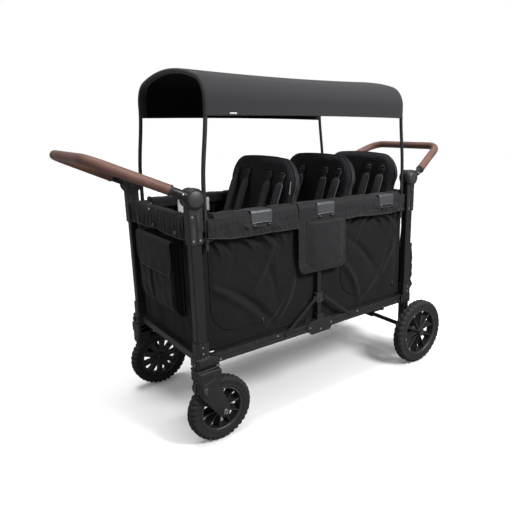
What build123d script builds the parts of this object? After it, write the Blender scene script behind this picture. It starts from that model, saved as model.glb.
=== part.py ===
"""Six-seat folding pull wagon: tube frame, fabric tub, canopy, two handles, casters and wheels.

Millimetres, +Z up, origin on the ground under the middle. The front (casters) is at -X and
the left side is at -Y.
"""

from build123d import *
from math import cos, radians, sin, sqrt, tan
import os

os.makedirs("parts", exist_ok=True)

# Overall sizes
post_pitch_x = 1046.0
post_pitch_y = 540.0
front_wheel_dia = 240.0
rear_wheel_dia = 300.0
rail_height = 315.0
hub_height = 877.0
top_rail_height = 795.0
canopy_height = 1295.0
canopy_edge_height = 1132.0
pole_pitch_x = 960.0
pole_lean = 21.0
arch_spring = 1180.0
arch_corner = 78.0

# Tubes and walls
post_size_x = 38.0
post_size_y = 32.0
sleeve_size_x = 46.0
sleeve_size_y = 40.0
tube_wall = 2.0
rail_tall = 35.0
rail_wide = 20.0
top_tube_dia = 22.0
top_tube_inset = 26.0
pole_dia = 14.0
mid_post_x = 20.0
mid_post_y = 14.0
cloth = 4.0

# Fits
slide_clearance = 0.4
running_clearance = 0.05
gap = 0.3

# Handles
handle_reach = 313.0
handle_slope = 24.3
handle_tube_dia = 27.0
grip_dia = 34.0
handle_hub_dia = 68.0
handle_foot_half = 284.5
handle_straight = 52.0
handle_tip_half = 205.0
handle_corner = 75.0
button_dia = 30.0
button_travel = 5.0

# Wheels and casters
wheel_width = 46.0
caster_trail = 60.0
rear_wheel_back = 43.0
rear_wheel_out = 325.0
axle_dia = 12.0
stem_dia = 16.0
spoke_count = 10

# Seats
seat_crossings = (-84.0, 209.0, 473.0)
clip_centres = (-268.0, 24.0, 365.0)
seat_lean = 8.0
seat_top = 985.0
seat_height = 560.0
back_foot = 530.0
seat_half = 228.0
back_thick = 40.0
cushion_deep = 170.0
cushion_thick = 48.0
clip_long = 88.0
strap_spots = (-165.0, -80.0, 80.0, 165.0)

post_x = post_pitch_x / 2
post_y = post_pitch_y / 2
top_rail_y = post_y - top_tube_inset
rail_top = rail_height + rail_tall / 2
rail_bottom = rail_height - rail_tall / 2
cover_top = top_rail_height + 27
cover_bottom = top_rail_height - 19
skirt_bottom = top_rail_height - 60
sleeve_bottom = top_rail_height - 67
sleeve_top = top_rail_height + 55
clamp_z = top_rail_height - 58
collar_top = 387.0
plate_foot = rail_height + 230
housing_top = 333.0
housing_bottom = 296.0
front_wheel_z = front_wheel_dia / 2
rear_wheel_z = rear_wheel_dia / 2
front_wheel_x = -post_x + caster_trail
rear_wheel_x = post_x + rear_wheel_back
plate_in = post_y + wheel_width / 2 + 7
side_in = 248.5
cover_in = 229.0
end_in = post_x - 16
pole_x = pole_pitch_x / 2
pocket_back = end_in + cloth + gap
pocket_face = pocket_back + 44.7
basket_face = post_x + 22


def block(x0, x1, y0, y1, z0, z1):
    middle = Pos((x0 + x1) / 2, (y0 + y1) / 2, (z0 + z1) / 2)
    return middle * Box(abs(x1 - x0), abs(y1 - y0), abs(z1 - z0))


def rod_x(r, x0, x1, y, z):
    return Pos((x0 + x1) / 2, y, z) * Rot(0, 90, 0) * Cylinder(r, abs(x1 - x0))


def rod_y(r, y0, y1, x, z):
    return Pos(x, (y0 + y1) / 2, z) * Rot(90, 0, 0) * Cylinder(r, abs(y1 - y0))


def rod_z(r, z0, z1, x, y):
    return Pos(x, y, (z0 + z1) / 2) * Cylinder(r, abs(z1 - z0))


def tube_z(size_x, size_y, z0, z1, x, y, wall):
    """Oblong tube with rounded corners, standing on z0."""
    face = RectangleRounded(size_x, size_y, 5) - RectangleRounded(size_x - 2 * wall, size_y - 2 * wall, 3)
    return Pos(x, y, z0) * extrude(face, z1 - z0)


def plate_xz(points, y0, y1, rounding=0):
    """Flat plate standing in the XZ plane, between y0 and y1."""
    face = make_face(Polyline(*points, close=True))
    if rounding:
        face = fillet(face.vertices(), rounding)
    solid = extrude(face, abs(y1 - y0))
    return Pos(0, max(y0, y1), 0) * Rot(90, 0, 0) * solid


def both_sides(solid):
    return [solid, mirror(solid, Plane.XZ)]


def four_corners(solid):
    return [s for half in both_sides(solid) for s in (half, mirror(half, Plane.YZ))]


def write(name, *solids):
    flat = []
    for item in solids:
        flat.extend(item if isinstance(item, list) else [item])
    flat = [s for item in flat for s in item.solids()]
    shape = flat[0] if len(flat) == 1 else Compound(children=flat)
    export_step(shape, f"parts/{name}.step")


# Corner posts, with a shallow groove down the outside
def post(x, y):
    return tube_z(post_size_x, post_size_y, housing_top, sleeve_top - 14, x, y, tube_wall)


write("corner_posts", four_corners(post(post_x, -post_y)))


# Lower corner joints: a collar round the post over a housing that takes both rails
def corner_joint(is_front):
    x = -post_x if is_front else post_x
    s = -1 if is_front else 1
    collar = Pos(x, -post_y, housing_top - 1) * extrude(
        RectangleRounded(sleeve_size_x, sleeve_size_y, 6) - RectangleRounded(post_size_x, post_size_y, 5),
        collar_top - housing_top + 1,
    )
    body = block(x + s * 25, x - s * 35, -post_y - 22, -post_y + 22, housing_bottom, housing_top)
    body = chamfer(body.edges().filter_by(Axis.Z), 5)
    body += collar
    body -= block(x - s * 30, x - s * 60, -post_y - 11, -post_y + 11, rail_bottom - 1, rail_top + 3)
    if is_front:
        body -= rod_z(stem_dia / 2 + running_clearance, housing_bottom - 1, 326, x, -post_y)
        body -= rod_x(4 + running_clearance, x - 26, x - 11, -post_y - 9, 312)
    return body


write("corner_joints", both_sides(corner_joint(True)), both_sides(corner_joint(False)))


# Handle brackets: sleeve over the post top, a drum with a pin, and a pocket for the button
def handle_bracket(s):
    x = s * post_x
    sleeve = Pos(x, -post_y, sleeve_bottom) * extrude(
        RectangleRounded(sleeve_size_x, sleeve_size_y, 4) - RectangleRounded(post_size_x, post_size_y, 5),
        sleeve_top - sleeve_bottom,
    )
    cap = Pos(x, -post_y, sleeve_top - 12) * extrude(RectangleRounded(sleeve_size_x, sleeve_size_y, 4), 12)
    neck = block(x - 20, x + 20, -269.6, -250, sleeve_top - 4, hub_height)
    drum = rod_y(handle_hub_dia / 2 - 1, -269.6, -246, x, hub_height)
    groove = block(x - 4, x + 4, -post_y - 22, -post_y - 18.5, sleeve_bottom - 1, sleeve_top - 24)
    solid = sleeve + cap
    solid -= rod_y(handle_hub_dia / 2 + gap, -302, -269.6, x, hub_height)
    solid += neck + drum + rod_y(6, -297, -262, x, hub_height)
    solid -= rod_y(button_dia / 2 + slide_clearance, -256, -245, x, hub_height)
    return solid - groove


write("handle_brackets", both_sides(handle_bracket(-1)), both_sides(handle_bracket(1)))


# Release buttons in the inner faces of the drums
def release_button(s, side):
    x = s * post_x
    knob = rod_y(button_dia / 2, side * 239, side * (256 - button_travel - 0.5), x, hub_height)
    return chamfer(knob.faces().sort_by(Axis.Y)[0 if side > 0 else -1].edges(), 1.5)


write("release_button_front_left", release_button(-1, -1))
write("release_button_front_right", release_button(-1, 1))
write("release_button_rear_left", release_button(1, -1))
write("release_button_rear_right", release_button(1, 1))


# Handles: a U of tube between two hubs, wrapped with leather
def handle_plane(s):
    slope = radians(handle_slope)
    along = (s * cos(slope), 0, sin(slope))
    out = (-sin(slope), 0, s * cos(slope))
    return Plane(origin=(s * post_x, 0, hub_height), x_dir=along, z_dir=out)


def handle_path(s, start):
    share = max(start - handle_straight, 0) / (handle_reach - handle_straight)
    half = handle_foot_half + (handle_tip_half - handle_foot_half) * share
    points = [(start, -half), (handle_reach, -handle_tip_half)]
    if start < handle_straight:
        points.insert(1, (handle_straight, -handle_foot_half))
    points += [(along, -across) for along, across in reversed(points)]
    return handle_plane(s) * FilletPolyline(*points, radius=handle_corner)


def swept(path, section):
    return sweep(Plane(path @ 0, z_dir=path % 0) * section, path=path)


def handle_tube(s):
    tube = swept(handle_path(s, 18), Circle(handle_tube_dia / 2))
    hubs = []
    for side in (-1, 1):
        hub = rod_y(handle_hub_dia / 2, side * 270, side * 300, s * post_x, hub_height)
        outer = hub.faces().sort_by(Axis.Y)[-1 if side > 0 else 0]
        hub = chamfer(outer.edges(), 6)
        hubs.append(hub)
    solid = tube + hubs[0] + hubs[1]
    for side in (-1, 1):
        solid -= rod_y(6 + running_clearance, side * 268, side * 297.4, s * post_x, hub_height)
    return solid


def handle_grip(s):
    section = Circle(grip_dia / 2) - Circle(handle_tube_dia / 2 + 0.1)
    return swept(handle_path(s, 82), section)


for s, place in ((-1, "front"), (1, "rear")):
    write(f"handle_tube_{place}", handle_tube(s))
    write(f"handle_grip_{place}", handle_grip(s))


# Bottom side rails in two halves, with a groove along the outside
def bottom_rail(side, s):
    x0, x1 = 30.0, post_x - 31
    rail = block(s * x0, s * x1, side * (post_y - 10), side * (post_y + 10), rail_bottom, rail_top)
    y0, y1 = side * (post_y - 8), side * (post_y + 7)
    hollow = block(s * (x0 - 1), s * (x1 + 1), y0, y1, rail_bottom + 2, rail_top - 2)
    groove = block(s * (x0 - 1), s * (x1 + 1), side * (post_y + 9), side * (post_y + 11), 311, 319)
    return rail - hollow - groove


write("bottom_rails", [bottom_rail(side, s) for side in (-1, 1) for s in (-1, 1)])


# Middle hinge brackets: six-sided plates either side of the rail ends, round a block
def mid_hinge():
    shape = [(-75, 316), (-52, 342), (52, 342), (75, 316), (48, 284), (-48, 284)]
    outer = plate_xz(shape, -post_y - 10.3, -post_y - 14, 4)
    inner = plate_xz(shape, -post_y + 10.3, -post_y + 13, 4)
    middle = block(-29.5, 29.5, -post_y - 11, -post_y + 11, 286, 342)
    return outer + inner + middle


write("mid_hinges", both_sides(mid_hinge()))


# Middle posts with a foot, the sliding collar with two ears, and its flat braces
def mid_post():
    tube = tube_z(mid_post_x, mid_post_y, 343, top_rail_height - 17, 0, -post_y, 1.6)
    foot = block(-16, 16, -post_y - 12, -post_y + 12, 342.3, 366)
    return tube + (foot - block(-8, 8, -post_y - 5, -post_y + 5, 342, 367))


def slider_collar():
    body = block(-17, 17, -post_y - 10, -post_y + 11, 412, 452)
    ears = rod_y(9, -post_y - 10, -post_y - 4, -26, 432) + rod_y(9, -post_y - 10, -post_y - 4, 26, 432)
    arm = block(-26, 26, -post_y - 10, -post_y - 7.3, 423, 441)
    hole = block(-mid_post_x / 2 - 0.2, mid_post_x / 2 + 0.2, -post_y - 7.2, -post_y + 7.2, 411, 453)
    return body + arm + ears - hole


def brace(s):
    x0, z0, x1, z1 = s * 26, 432, s * 170, 320
    length = sqrt((x1 - x0) ** 2 + (z1 - z0) ** 2)
    nx, nz = -(z1 - z0) / length * 7, (x1 - x0) / length * 7
    points = [(x0 + nx, z0 + nz), (x1 + nx, z1 + nz), (x1 - nx, z1 - nz), (x0 - nx, z0 - nz)]
    bar = plate_xz(points, -post_y - 10.3, -post_y - 13.3, 3)
    bar += rod_y(9, -post_y - 10.3, -post_y - 13.3, x0, z0) + rod_y(9, -post_y - 10.3, -post_y - 13.3, x1, z1)
    return bar


write("mid_posts", both_sides(mid_post()))
write("slider_collars", both_sides(slider_collar()))
write("braces", both_sides(brace(-1)), both_sides(brace(1)))


# Cross rails between the posts, low and high
def ring_x(outer, inner, x0, x1, y, z):
    return rod_x(outer, x0, x1, y, z) - rod_x(inner, x0 - 1, x1 + 1, y, z)


def ring_y(outer, inner, y0, y1, x, z):
    return rod_y(outer, y0, y1, x, z) - rod_y(inner, y0 - 1, y1 + 1, x, z)


low_cross = []
high_cross = []
for x in (-post_x, post_x):
    bar = block(x - 10, x + 10, -248, 248, 304, 329.7)
    low_cross.append(bar - block(x - 8, x + 8, -249, 249, 306, 327.7))
    high_cross.append(ring_y(top_tube_dia / 2, top_tube_dia / 2 - 2, -250, 250, x, top_rail_height))
write("low_cross_rails", low_cross)
write("high_cross_rails", high_cross)


# Top side rails, with an end block against each sleeve and a saddle over the middle post
def top_rail():
    end = post_x - sleeve_size_x / 2
    tube = ring_x(top_tube_dia / 2, top_tube_dia / 2 - 2, -end, end, -top_rail_y, top_rail_height)
    z0, z1 = top_rail_height - 11, top_rail_height + 11
    ends = [block(s * end, s * (end - 7), -257, -236, z0, z1) for s in (-1, 1)]
    saddle = block(-14, 14, -post_y - 7, -236, top_rail_height - 16.5, top_rail_height + 14)
    bore = rod_x(top_tube_dia / 2 - 1, -end - 1, end + 1, -top_rail_y, top_rail_height)
    return tube + (ends[0] + ends[1] + saddle - bore)


write("top_rails", both_sides(top_rail()))

# Canopy clamps: a tall ring and a short ring round each pole, with webs to the sleeve
ring_r = 12.0


def canopy_clamp():
    x_sleeve = post_x - sleeve_size_x / 2
    upper = rod_z(ring_r, clamp_z + 27, clamp_z + 71, pole_x, -post_y)
    upper += block(x_sleeve, pole_x, -275, -265, clamp_z + 31, clamp_z + 67)
    lower = rod_z(ring_r, clamp_z - 9, clamp_z + 9, pole_x, -post_y)
    lower += block(x_sleeve, pole_x, -275, -265, clamp_z - 6, clamp_z + 6)
    bore = rod_z(pole_dia / 2 + slide_clearance, clamp_z - 37, clamp_z + 83, pole_x, -post_y)
    eye = rod_y(3, -290, -250, pole_x - 14, clamp_z)
    lug = block(pole_x - 19, pole_x - 9, -278, -262, clamp_z - 6, clamp_z + 6)
    slot = block(pole_x - 20, pole_x - 8, -274.5, -265.5, clamp_z - 17, clamp_z + 7)
    return [upper - bore, lower + lug - slot - bore - eye]


clamps = []
for piece in canopy_clamp():
    clamps.extend(four_corners(piece))
write("canopy_clamps", clamps)


# Thumb levers, each on its own pin through the lower ring's lug
def clamp_lever(s, side):
    x, z = pole_x - 14, clamp_z
    y0, y1 = post_y - 4.2, post_y + 4.2
    lever = rod_y(5.4, y0, y1, x, z) + block(x - 30, x, y0, y1, z - 4, z + 4)
    lever += rod_y(4, y0, y1, x - 30, z) + rod_y(2.95, post_y - 8, post_y + 8, x, z)
    if side < 0:
        lever = mirror(lever, Plane.XZ)
    return lever if s > 0 else mirror(lever, Plane.YZ)


for s, place in ((-1, "front"), (1, "rear")):
    for side, hand in ((-1, "left"), (1, "right")):
        write(f"clamp_lever_{place}_{hand}", clamp_lever(s, side))


# Front casters: a head that swivels on a stem, with one arm outside the wheel
def caster_fork():
    x = -post_x
    head = block(x - 28, x + 28, -post_y - 28, -post_y + 26, 246, housing_bottom - slide_clearance)
    head = chamfer(head.edges().filter_by(Axis.Z), 9)
    stem = rod_z(stem_dia / 2, 290, 324, x, -post_y)
    shoulder = block(x - 24, x + 22, -plate_in - 10, -post_y - 20, 246, 290)
    points = [(x - 24, 288), (x + 22, 288), (x + 30, 250), (front_wheel_x + 17, 140),
              (front_wheel_x + 15, 106), (front_wheel_x, 99), (front_wheel_x - 17, 108), (x - 26, 208)]
    arm = plate_xz(points, -plate_in, -plate_in - 11, 6)
    pivot = rod_y(13, -plate_in - 15, -plate_in - 9, x - 10, 232)
    axle = rod_y(axle_dia / 2, -plate_in - 2, -post_y + wheel_width / 2 + 10, front_wheel_x, front_wheel_z)
    cap = rod_y(9, -plate_in - 16, -plate_in - 10, front_wheel_x, front_wheel_z)
    inner = -post_y + wheel_width / 2
    nut = rod_y(9, inner + 6, inner + 12, front_wheel_x, front_wheel_z)
    return head + stem + shoulder + arm + pivot + axle + cap + nut


write("caster_fork_left", caster_fork())
write("caster_fork_right", mirror(caster_fork(), Plane.XZ))


# Swivel lock pins in the front of the corner joints
def swivel_pin():
    x, y = -post_x - 25, -post_y - 9
    return rod_x(4, x - 2, x + 12, y, 312) + rod_x(9, x - 9, x - 0.4, y, 312)


write("swivel_pin_left", swivel_pin())
write("swivel_pin_right", mirror(swivel_pin(), Plane.XZ))


# Wheels: rubber tyre on a plastic rim with thin deep spokes
def tyre(radius, inner, x, y):
    half = wheel_width / 2
    profile = make_face(Polyline(
        (inner, -half + 5), (inner + 6, -half), (radius - 9, -half), (radius, -half + 8),
        (radius, half - 8), (radius - 9, half), (inner + 6, half), (inner, half - 5), close=True,
    ))
    ring = revolve(Plane.XZ * profile, Axis.Z)
    return Pos(x, y, radius) * Rot(90, 0, 0) * ring


def rim(radius, inner, hub_half, x, y):
    outer = inner - 0.1
    barrel = Cylinder(outer, wheel_width - 14) - Cylinder(outer - 6, wheel_width)
    body = barrel + Cylinder(18, 2 * hub_half)
    for k in range(spoke_count):
        body += Rot(0, 0, 360 * k / spoke_count) * Pos((outer + 12) / 2, 0, 0) * Box(outer - 18, 4.5, 26)
    body -= Cylinder(axle_dia / 2 + running_clearance, 4 * hub_half)
    return Pos(x, y, radius) * Rot(90, 0, 0) * body


front_seat = 81.0
rear_seat = 107.0
for side, hand in ((-1, "left"), (1, "right")):
    y_front = side * post_y
    y_rear = side * rear_wheel_out
    write(f"front_tyre_{hand}", tyre(front_wheel_z, front_seat, front_wheel_x, y_front))
    write(f"front_rim_{hand}", rim(front_wheel_z, front_seat, wheel_width / 2 + 5.5, front_wheel_x, y_front))
    write(f"rear_tyre_{hand}", tyre(rear_wheel_z, rear_seat, rear_wheel_x, y_rear))
    write(f"rear_rim_{hand}", rim(rear_wheel_z, rear_seat, wheel_width / 2, rear_wheel_x, y_rear))


# Rear legs: a drop tube, a plate to the axle, and the axle tube with its pins and caps
def rear_leg():
    x = post_x
    tube = block(x - 17, x + 17, -post_y - 15, -post_y + 15, 150, housing_bottom)
    points = [(x - 17, 250), (x + 17, 250), (rear_wheel_x + 16, 168), (rear_wheel_x + 16, 138),
              (rear_wheel_x - 6, 132), (x - 17, 150)]
    plate = plate_xz(points, -post_y - 13, -post_y - 25, 5)
    return tube + plate - rod_y(10.1, -400, 400, rear_wheel_x, rear_wheel_z)


def rear_axle():
    end = post_y + 25
    tube = rod_y(10, -end, end, rear_wheel_x, rear_wheel_z)
    tip = rear_wheel_out + wheel_width / 2 + 2
    pins = rod_y(axle_dia / 2, -tip, tip, rear_wheel_x, rear_wheel_z)
    caps = rod_y(17, -tip - 5, -tip + 1.5, rear_wheel_x, rear_wheel_z)
    caps += rod_y(17, tip + 5, tip - 1.5, rear_wheel_x, rear_wheel_z)
    return tube + pins + caps


write("rear_legs", both_sides(rear_leg()))
write("rear_axle", rear_axle())


# Brake pedal, turning on the axle tube
def brake_pedal():
    x, z = rear_wheel_x, rear_wheel_z
    pedal = rod_y(16, -32, 32, x, z) + block(x + 8, x + 70, -32, 32, z + 4, z + 12)
    pedal += block(x + 60, x + 78, -40, 40, z + 4, z + 16)
    return pedal - rod_y(10 + running_clearance, -50, 50, x, z)


write("brake_pedal", brake_pedal())

# Fabric tub: floor, side panels and end panels
floor_top = 335.0
write("floor_panel", block(gap - end_in, end_in - gap, -247.8, 247.8, floor_top - 5, floor_top))


def side_panel(side):
    y0, y1 = side * side_in, side * (side_in + cloth)
    return block(25 - post_x, post_x - 25, y0, y1, floor_top + 0.5, cover_bottom - gap)


def end_panel(s):
    return block(s * end_in, s * (end_in + cloth), -245, 245, floor_top - 5, cover_bottom - gap)


write("side_panels", side_panel(-1), side_panel(1))
write("end_panels", end_panel(-1), end_panel(1))


# Padded covers over the top rails, each with a skirt on the outside
def side_cover(side, s):
    x0, x1 = s * (112 if s < 0 else 130), s * (pole_x - 25)
    pad = block(x0, x1, side * cover_in, side * 286, cover_bottom, cover_top)
    pad = fillet(pad.edges().filter_by(Axis.X).group_by(Axis.Z)[-1], 16)
    pad += block(x0, x1, side * 280, side * 286, skirt_bottom, cover_bottom + 2)
    return pad - rod_x(top_tube_dia / 2 + gap, x0 - s, x1 + s, side * top_rail_y, top_rail_height)


def end_cover(s):
    x0, x1 = s * (post_x - 18), s * (post_x + 18)
    pad = block(x0, x1, -228, 228, cover_bottom, cover_top)
    pad = fillet(pad.edges().filter_by(Axis.Y).group_by(Axis.Z)[-1], 14)
    pad += block(s * (post_x + 12), x1, -228, 228, skirt_bottom, cover_bottom + 2)
    return pad - rod_y(top_tube_dia / 2 + gap, -240, 240, s * post_x, top_rail_height)


write("rail_covers", [side_cover(side, s) for side in (-1, 1) for s in (-1, 1)])
write("end_covers", end_cover(-1), end_cover(1))


# Middle covers: saddle over the rail, a plate down the outside, and a flat pouch
def centre_pocket():
    top = block(-108, 126, -286, -cover_in, cover_top - 12, cover_top - 6)
    plate = block(-108, 126, -286, -281, plate_foot, cover_top - 10)
    pouch = block(-102, 120, -298, -285, plate_foot + 5, cover_top - 77)
    inner = block(-108, 126, -cover_in - 3.5, -cover_in, cover_bottom, cover_top - 10)
    return top + plate + pouch + inner


write("centre_pockets", both_sides(centre_pocket()))


# Front pocket, open above its low front wall, with a flap hinged along its top edge
pocket_half = 150.0
pocket_top = top_rail_height - 81
pocket_foot = rail_height + 125


def front_pocket():
    outer = block(-pocket_face, -pocket_back, -pocket_half, pocket_half, pocket_foot, pocket_top)
    across = pocket_half - 3
    inner = block(3 - pocket_face, -pocket_back - 3.7, -across, across, pocket_foot + 3, pocket_top - 3)
    window = block(-pocket_face - 4, 4 - pocket_face, -across, across, pocket_top - 74, pocket_top - 3)
    return outer - inner - window


write("front_pocket", front_pocket())
flap_half = pocket_half + 4
flap = block(-pocket_face - 5, -pocket_face - 0.4, -flap_half, flap_half, pocket_top - 122, pocket_top + 4.5)
flap += block(-pocket_face - 5, 10 - pocket_face, -flap_half, flap_half, pocket_top + 0.5, pocket_top + 4.5)
write("front_pocket_flap", flap)


# Rear basket, open at the top, with its hanging straps
def rear_basket():
    outer = block(basket_face, basket_face + 91, -238, 238, 288, 550)
    return outer - block(basket_face + 4, basket_face + 87, -234, 234, 292, 551)


write("rear_basket", rear_basket())
straps = []
for y in (-215, 215):
    x0, x1, z1 = basket_face + 0.5, basket_face + 4.5, skirt_bottom - gap
    band = block(x0, x1, y - 12, y + 12, 550.3, z1)
    straps.append(band + block(x0 - 11.5, x1, y - 12, y + 12, z1 - 4, z1))
write("basket_straps", straps)


# Seats: cushion, leaning back, hangers over the rails, and harness straps
def lean_x(crossing, z):
    return crossing + (z - 800) * tan(radians(seat_lean))


def seat_back(crossing):
    tall = (seat_top - back_foot) / cos(radians(seat_lean))
    face = RectangleRounded(2 * seat_half, tall, 60)
    pad = extrude(face, back_thick / 2, both=True)
    pad = fillet(pad.edges().group_by(Axis.Z)[-1], 10)
    middle = (seat_top + back_foot) / 2
    return Pos(lean_x(crossing, middle), 0, middle) * Rot(0, 90 + seat_lean, 0) * Rot(0, 0, 90) * pad


def cushion(crossing):
    rear = lean_x(crossing, back_foot) - back_thick / 2 / cos(radians(seat_lean)) - gap
    pad = block(rear - cushion_deep, rear, -219.5, 219.5, seat_height - cushion_thick, seat_height)
    return fillet(pad.edges().group_by(Axis.Z)[-1], 12)


for number, crossing in enumerate(seat_crossings, start=1):
    write(f"seat_back_{number}", seat_back(crossing))
write("seat_cushions", [cushion(crossing) for crossing in seat_crossings])


def seat_clip(x, side):
    x0, x1 = x - clip_long / 2, x + clip_long / 2
    shelf_top = seat_height - cushion_thick - gap
    outer = block(x0, x1, side * 286.5, side * 290, cover_top - 54, cover_top + 5)
    top = block(x0, x1, side * 221, side * 290, cover_top + gap, cover_top + 5)
    inner = block(x0, x1, side * 221, side * 225, shelf_top - 4, cover_top + 5)
    shelf = block(x0, x1, side * 180, side * 225, shelf_top - 4, shelf_top)
    feet = [rod_y(6, side * 286.5, side * 294, x + d, cover_top - 54) for d in (-28, 28)]
    return outer + top + inner + shelf + feet[0] + feet[1]


write("seat_clips", [seat_clip(x, side) for x in clip_centres for side in (-1, 1)])


def harness(crossing):
    bands = []
    lean = radians(seat_lean)
    middle = 750.0
    for y in strap_spots:
        off = back_thick / 2 + 0.4 + 5
        x = lean_x(crossing, middle) - off * cos(lean)
        z = middle + off * sin(lean)
        band = Pos(x, y, z) * Rot(0, seat_lean, 0) * Box(10, 38, 330)
        bands.append(band)
    return bands


write("harness_straps", [band for crossing in seat_crossings for band in harness(crossing)])

# Canopy: arch tubes on four poles, and one curved sheet over them
arch_x = pole_x - pole_lean
sheet_off = pole_dia / 2 + 0.8
sheet_thick = 2.0
arch_rise = canopy_height - sheet_off - sheet_thick - arch_spring
corner_y = post_y - arch_corner
crown_radius = (corner_y**2 + arch_rise**2 - arch_corner**2) / (2 * (arch_rise - arch_corner))


def arch_edges(grow, x=0.0):
    """Corner, crown and corner arcs of the arch, grown outwards by the given amount."""
    crown_z = arch_spring + arch_rise - crown_radius
    reach = sqrt(corner_y**2 + (arch_spring - crown_z) ** 2)
    uy, uz = corner_y / reach, (arch_spring - crown_z) / reach
    bisect = sqrt((1 + uy) ** 2 + uz**2)
    r = arch_corner + grow
    foot = (post_y + grow, arch_spring)
    bend = (corner_y + r * (1 + uy) / bisect, arch_spring + r * uz / bisect)
    joint = ((crown_radius + grow) * uy, crown_z + (crown_radius + grow) * uz)
    top = (0, crown_z + crown_radius + grow)
    left = [Vector(x, -y, z) for y, z in (foot, bend, joint)]
    right = [Vector(x, y, z) for y, z in (joint, bend, foot)]
    return [
        Edge.make_three_point_arc(*left),
        Edge.make_three_point_arc(left[2], Vector(x, *top), right[0]),
        Edge.make_three_point_arc(*right),
    ]


def canopy_arch(s):
    up, down = (0, 0, 1), (0, 0, -1)
    crown = arch_edges(0, s * arch_x)
    bends = [Vector(s * pole_x, side * post_y, arch_spring - 280) for side in (-1, 1)]
    feet = [Vector(s * pole_x, side * post_y, clamp_z - 37) for side in (-1, 1)]
    path = Wire(
        [Edge.make_line(feet[0], bends[0]), Edge.make_spline([bends[0], crown[0] @ 0], tangents=[up, up])]
        + crown
        + [Edge.make_spline([crown[2] @ 1, bends[1]], tangents=[down, down]), Edge.make_line(bends[1], feet[1])]
    )
    return sweep(Plane(feet[0], z_dir=up) * Circle(pole_dia / 2), path=path)


write("canopy_arch_front", canopy_arch(-1))
write("canopy_arch_rear", canopy_arch(1))


def canopy_sheet():
    reach = arch_x + 9
    inner, outer = arch_edges(sheet_off, -reach), arch_edges(sheet_off + sheet_thick, -reach)
    hems = []
    for end in (0, 1):
        side = -1 if end == 0 else 1
        ends = [(post_y + sheet_off) * side, (post_y + sheet_off + sheet_thick) * side]
        top = [Vector(-reach, y, arch_spring) for y in ends]
        low = [Vector(-reach, y, canopy_edge_height) for y in ends]
        hems += [Edge.make_line(top[0], low[0]), Edge.make_line(low[0], low[1]), Edge.make_line(low[1], top[1])]
    face = Face(Wire(inner + outer + hems))
    return extrude(face, 2 * reach, dir=(1, 0, 0))


write("canopy_sheet", canopy_sheet())

# Rivets: domed heads on the sleeves, rails and hinge brackets
rivets = []
for side in (-1, 1):
    for s in (-1, 1):
        rivets.append(rod_y(4, side * 290, side * 291.5, s * (post_x - 12), sleeve_bottom + 14))
        rivets.append(rod_y(4, side * 290, side * 291.5, s * (post_x + 12), sleeve_bottom + 14))
        rivets.append(rod_y(4, side * 290, side * 291.5, s * (post_x + 12), sleeve_top - 30))
        rivets.append(rod_y(4, side * 290, side * 291.5, s * post_x, 350))
        rivets.append(rod_y(4, side * 290, side * 291.5, s * post_x, 372))
        rivets.append(rod_y(4, side * 280, side * 281.5, s * (post_x - 68), 307))
        rivets.append(rod_y(4, side * 280, side * 281.5, s * 210, 324))
    for x, z in ((-55, 316), (0, 300), (55, 316)):
        rivets.append(rod_y(4, side * 284, side * 285.5, x, z))
write("rivets", rivets)
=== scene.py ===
import bpy
import bmesh
import numpy as np
from mathutils import Matrix, Vector


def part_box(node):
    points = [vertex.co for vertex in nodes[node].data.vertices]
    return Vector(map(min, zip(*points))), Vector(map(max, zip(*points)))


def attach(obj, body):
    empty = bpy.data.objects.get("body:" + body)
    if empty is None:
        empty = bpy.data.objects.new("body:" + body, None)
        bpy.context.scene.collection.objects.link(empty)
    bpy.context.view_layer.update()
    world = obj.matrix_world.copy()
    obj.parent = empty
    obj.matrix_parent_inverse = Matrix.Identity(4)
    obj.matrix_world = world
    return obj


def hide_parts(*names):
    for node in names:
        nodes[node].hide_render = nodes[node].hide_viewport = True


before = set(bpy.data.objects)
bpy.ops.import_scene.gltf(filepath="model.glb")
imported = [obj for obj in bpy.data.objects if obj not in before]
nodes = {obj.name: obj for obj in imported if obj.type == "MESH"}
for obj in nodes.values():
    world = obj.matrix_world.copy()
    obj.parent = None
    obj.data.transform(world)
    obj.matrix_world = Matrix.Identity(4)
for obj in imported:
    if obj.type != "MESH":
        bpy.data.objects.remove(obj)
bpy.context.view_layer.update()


def cornersOf(name):
    low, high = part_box(name)
    return np.array(low), np.array(high)


def smoothStep(t):
    t = np.clip(t, 0.0, 1.0)
    return t * t * (3 - 2 * t)


def bump(t, width):
    # bell curve of height 1 and the given half width
    return np.exp(-(t / width) ** 2)


def dome(t):
    # a quarter circle from 0 at t = 0 up to 1 at t = 1
    return np.sqrt(np.clip(1 - (1 - np.clip(t, 0, 1)) ** 2, 0, 1))


def cornerCut(radius, up):
    # how far a rounded corner draws the edge in, at a height above the corner's foot
    fall = np.clip(radius - up, 0, radius)
    return radius - np.sqrt(np.maximum(radius ** 2 - fall ** 2, 0))


def ripple(x, y, seed, scale):
    # sum of six sine waves in seeded directions, about -1 to 1, one wave every scale metres or so
    rng = np.random.default_rng(seed)
    angle = rng.uniform(0, 2 * np.pi, 6)
    freq = rng.uniform(0.6, 1.7, 6) * 2 * np.pi / scale
    phase = rng.uniform(0, 2 * np.pi, 6)
    waves = [np.sin(f * (np.cos(a) * x + np.sin(a) * y) + p) for a, f, p in zip(angle, freq, phase)]
    return sum(waves) / 3.2


def crease(x, z, x0, z0, angleDeg, length, width, depth):
    # one soft fold: a bell across its width, fading out over its length
    a = np.radians(angleDeg)
    along = (x - x0) * np.cos(a) + (z - z0) * np.sin(a)
    across = -(x - x0) * np.sin(a) + (z - z0) * np.cos(a) + 0.12 * along * along / max(length, 1e-6)
    return depth * bump(across, width) * bump(along, length)


def surface(x, y, z):
    # three arrays that spread over one grid, as points[u, v]
    return np.stack(np.broadcast_arrays(x, y, z), -1)


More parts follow.
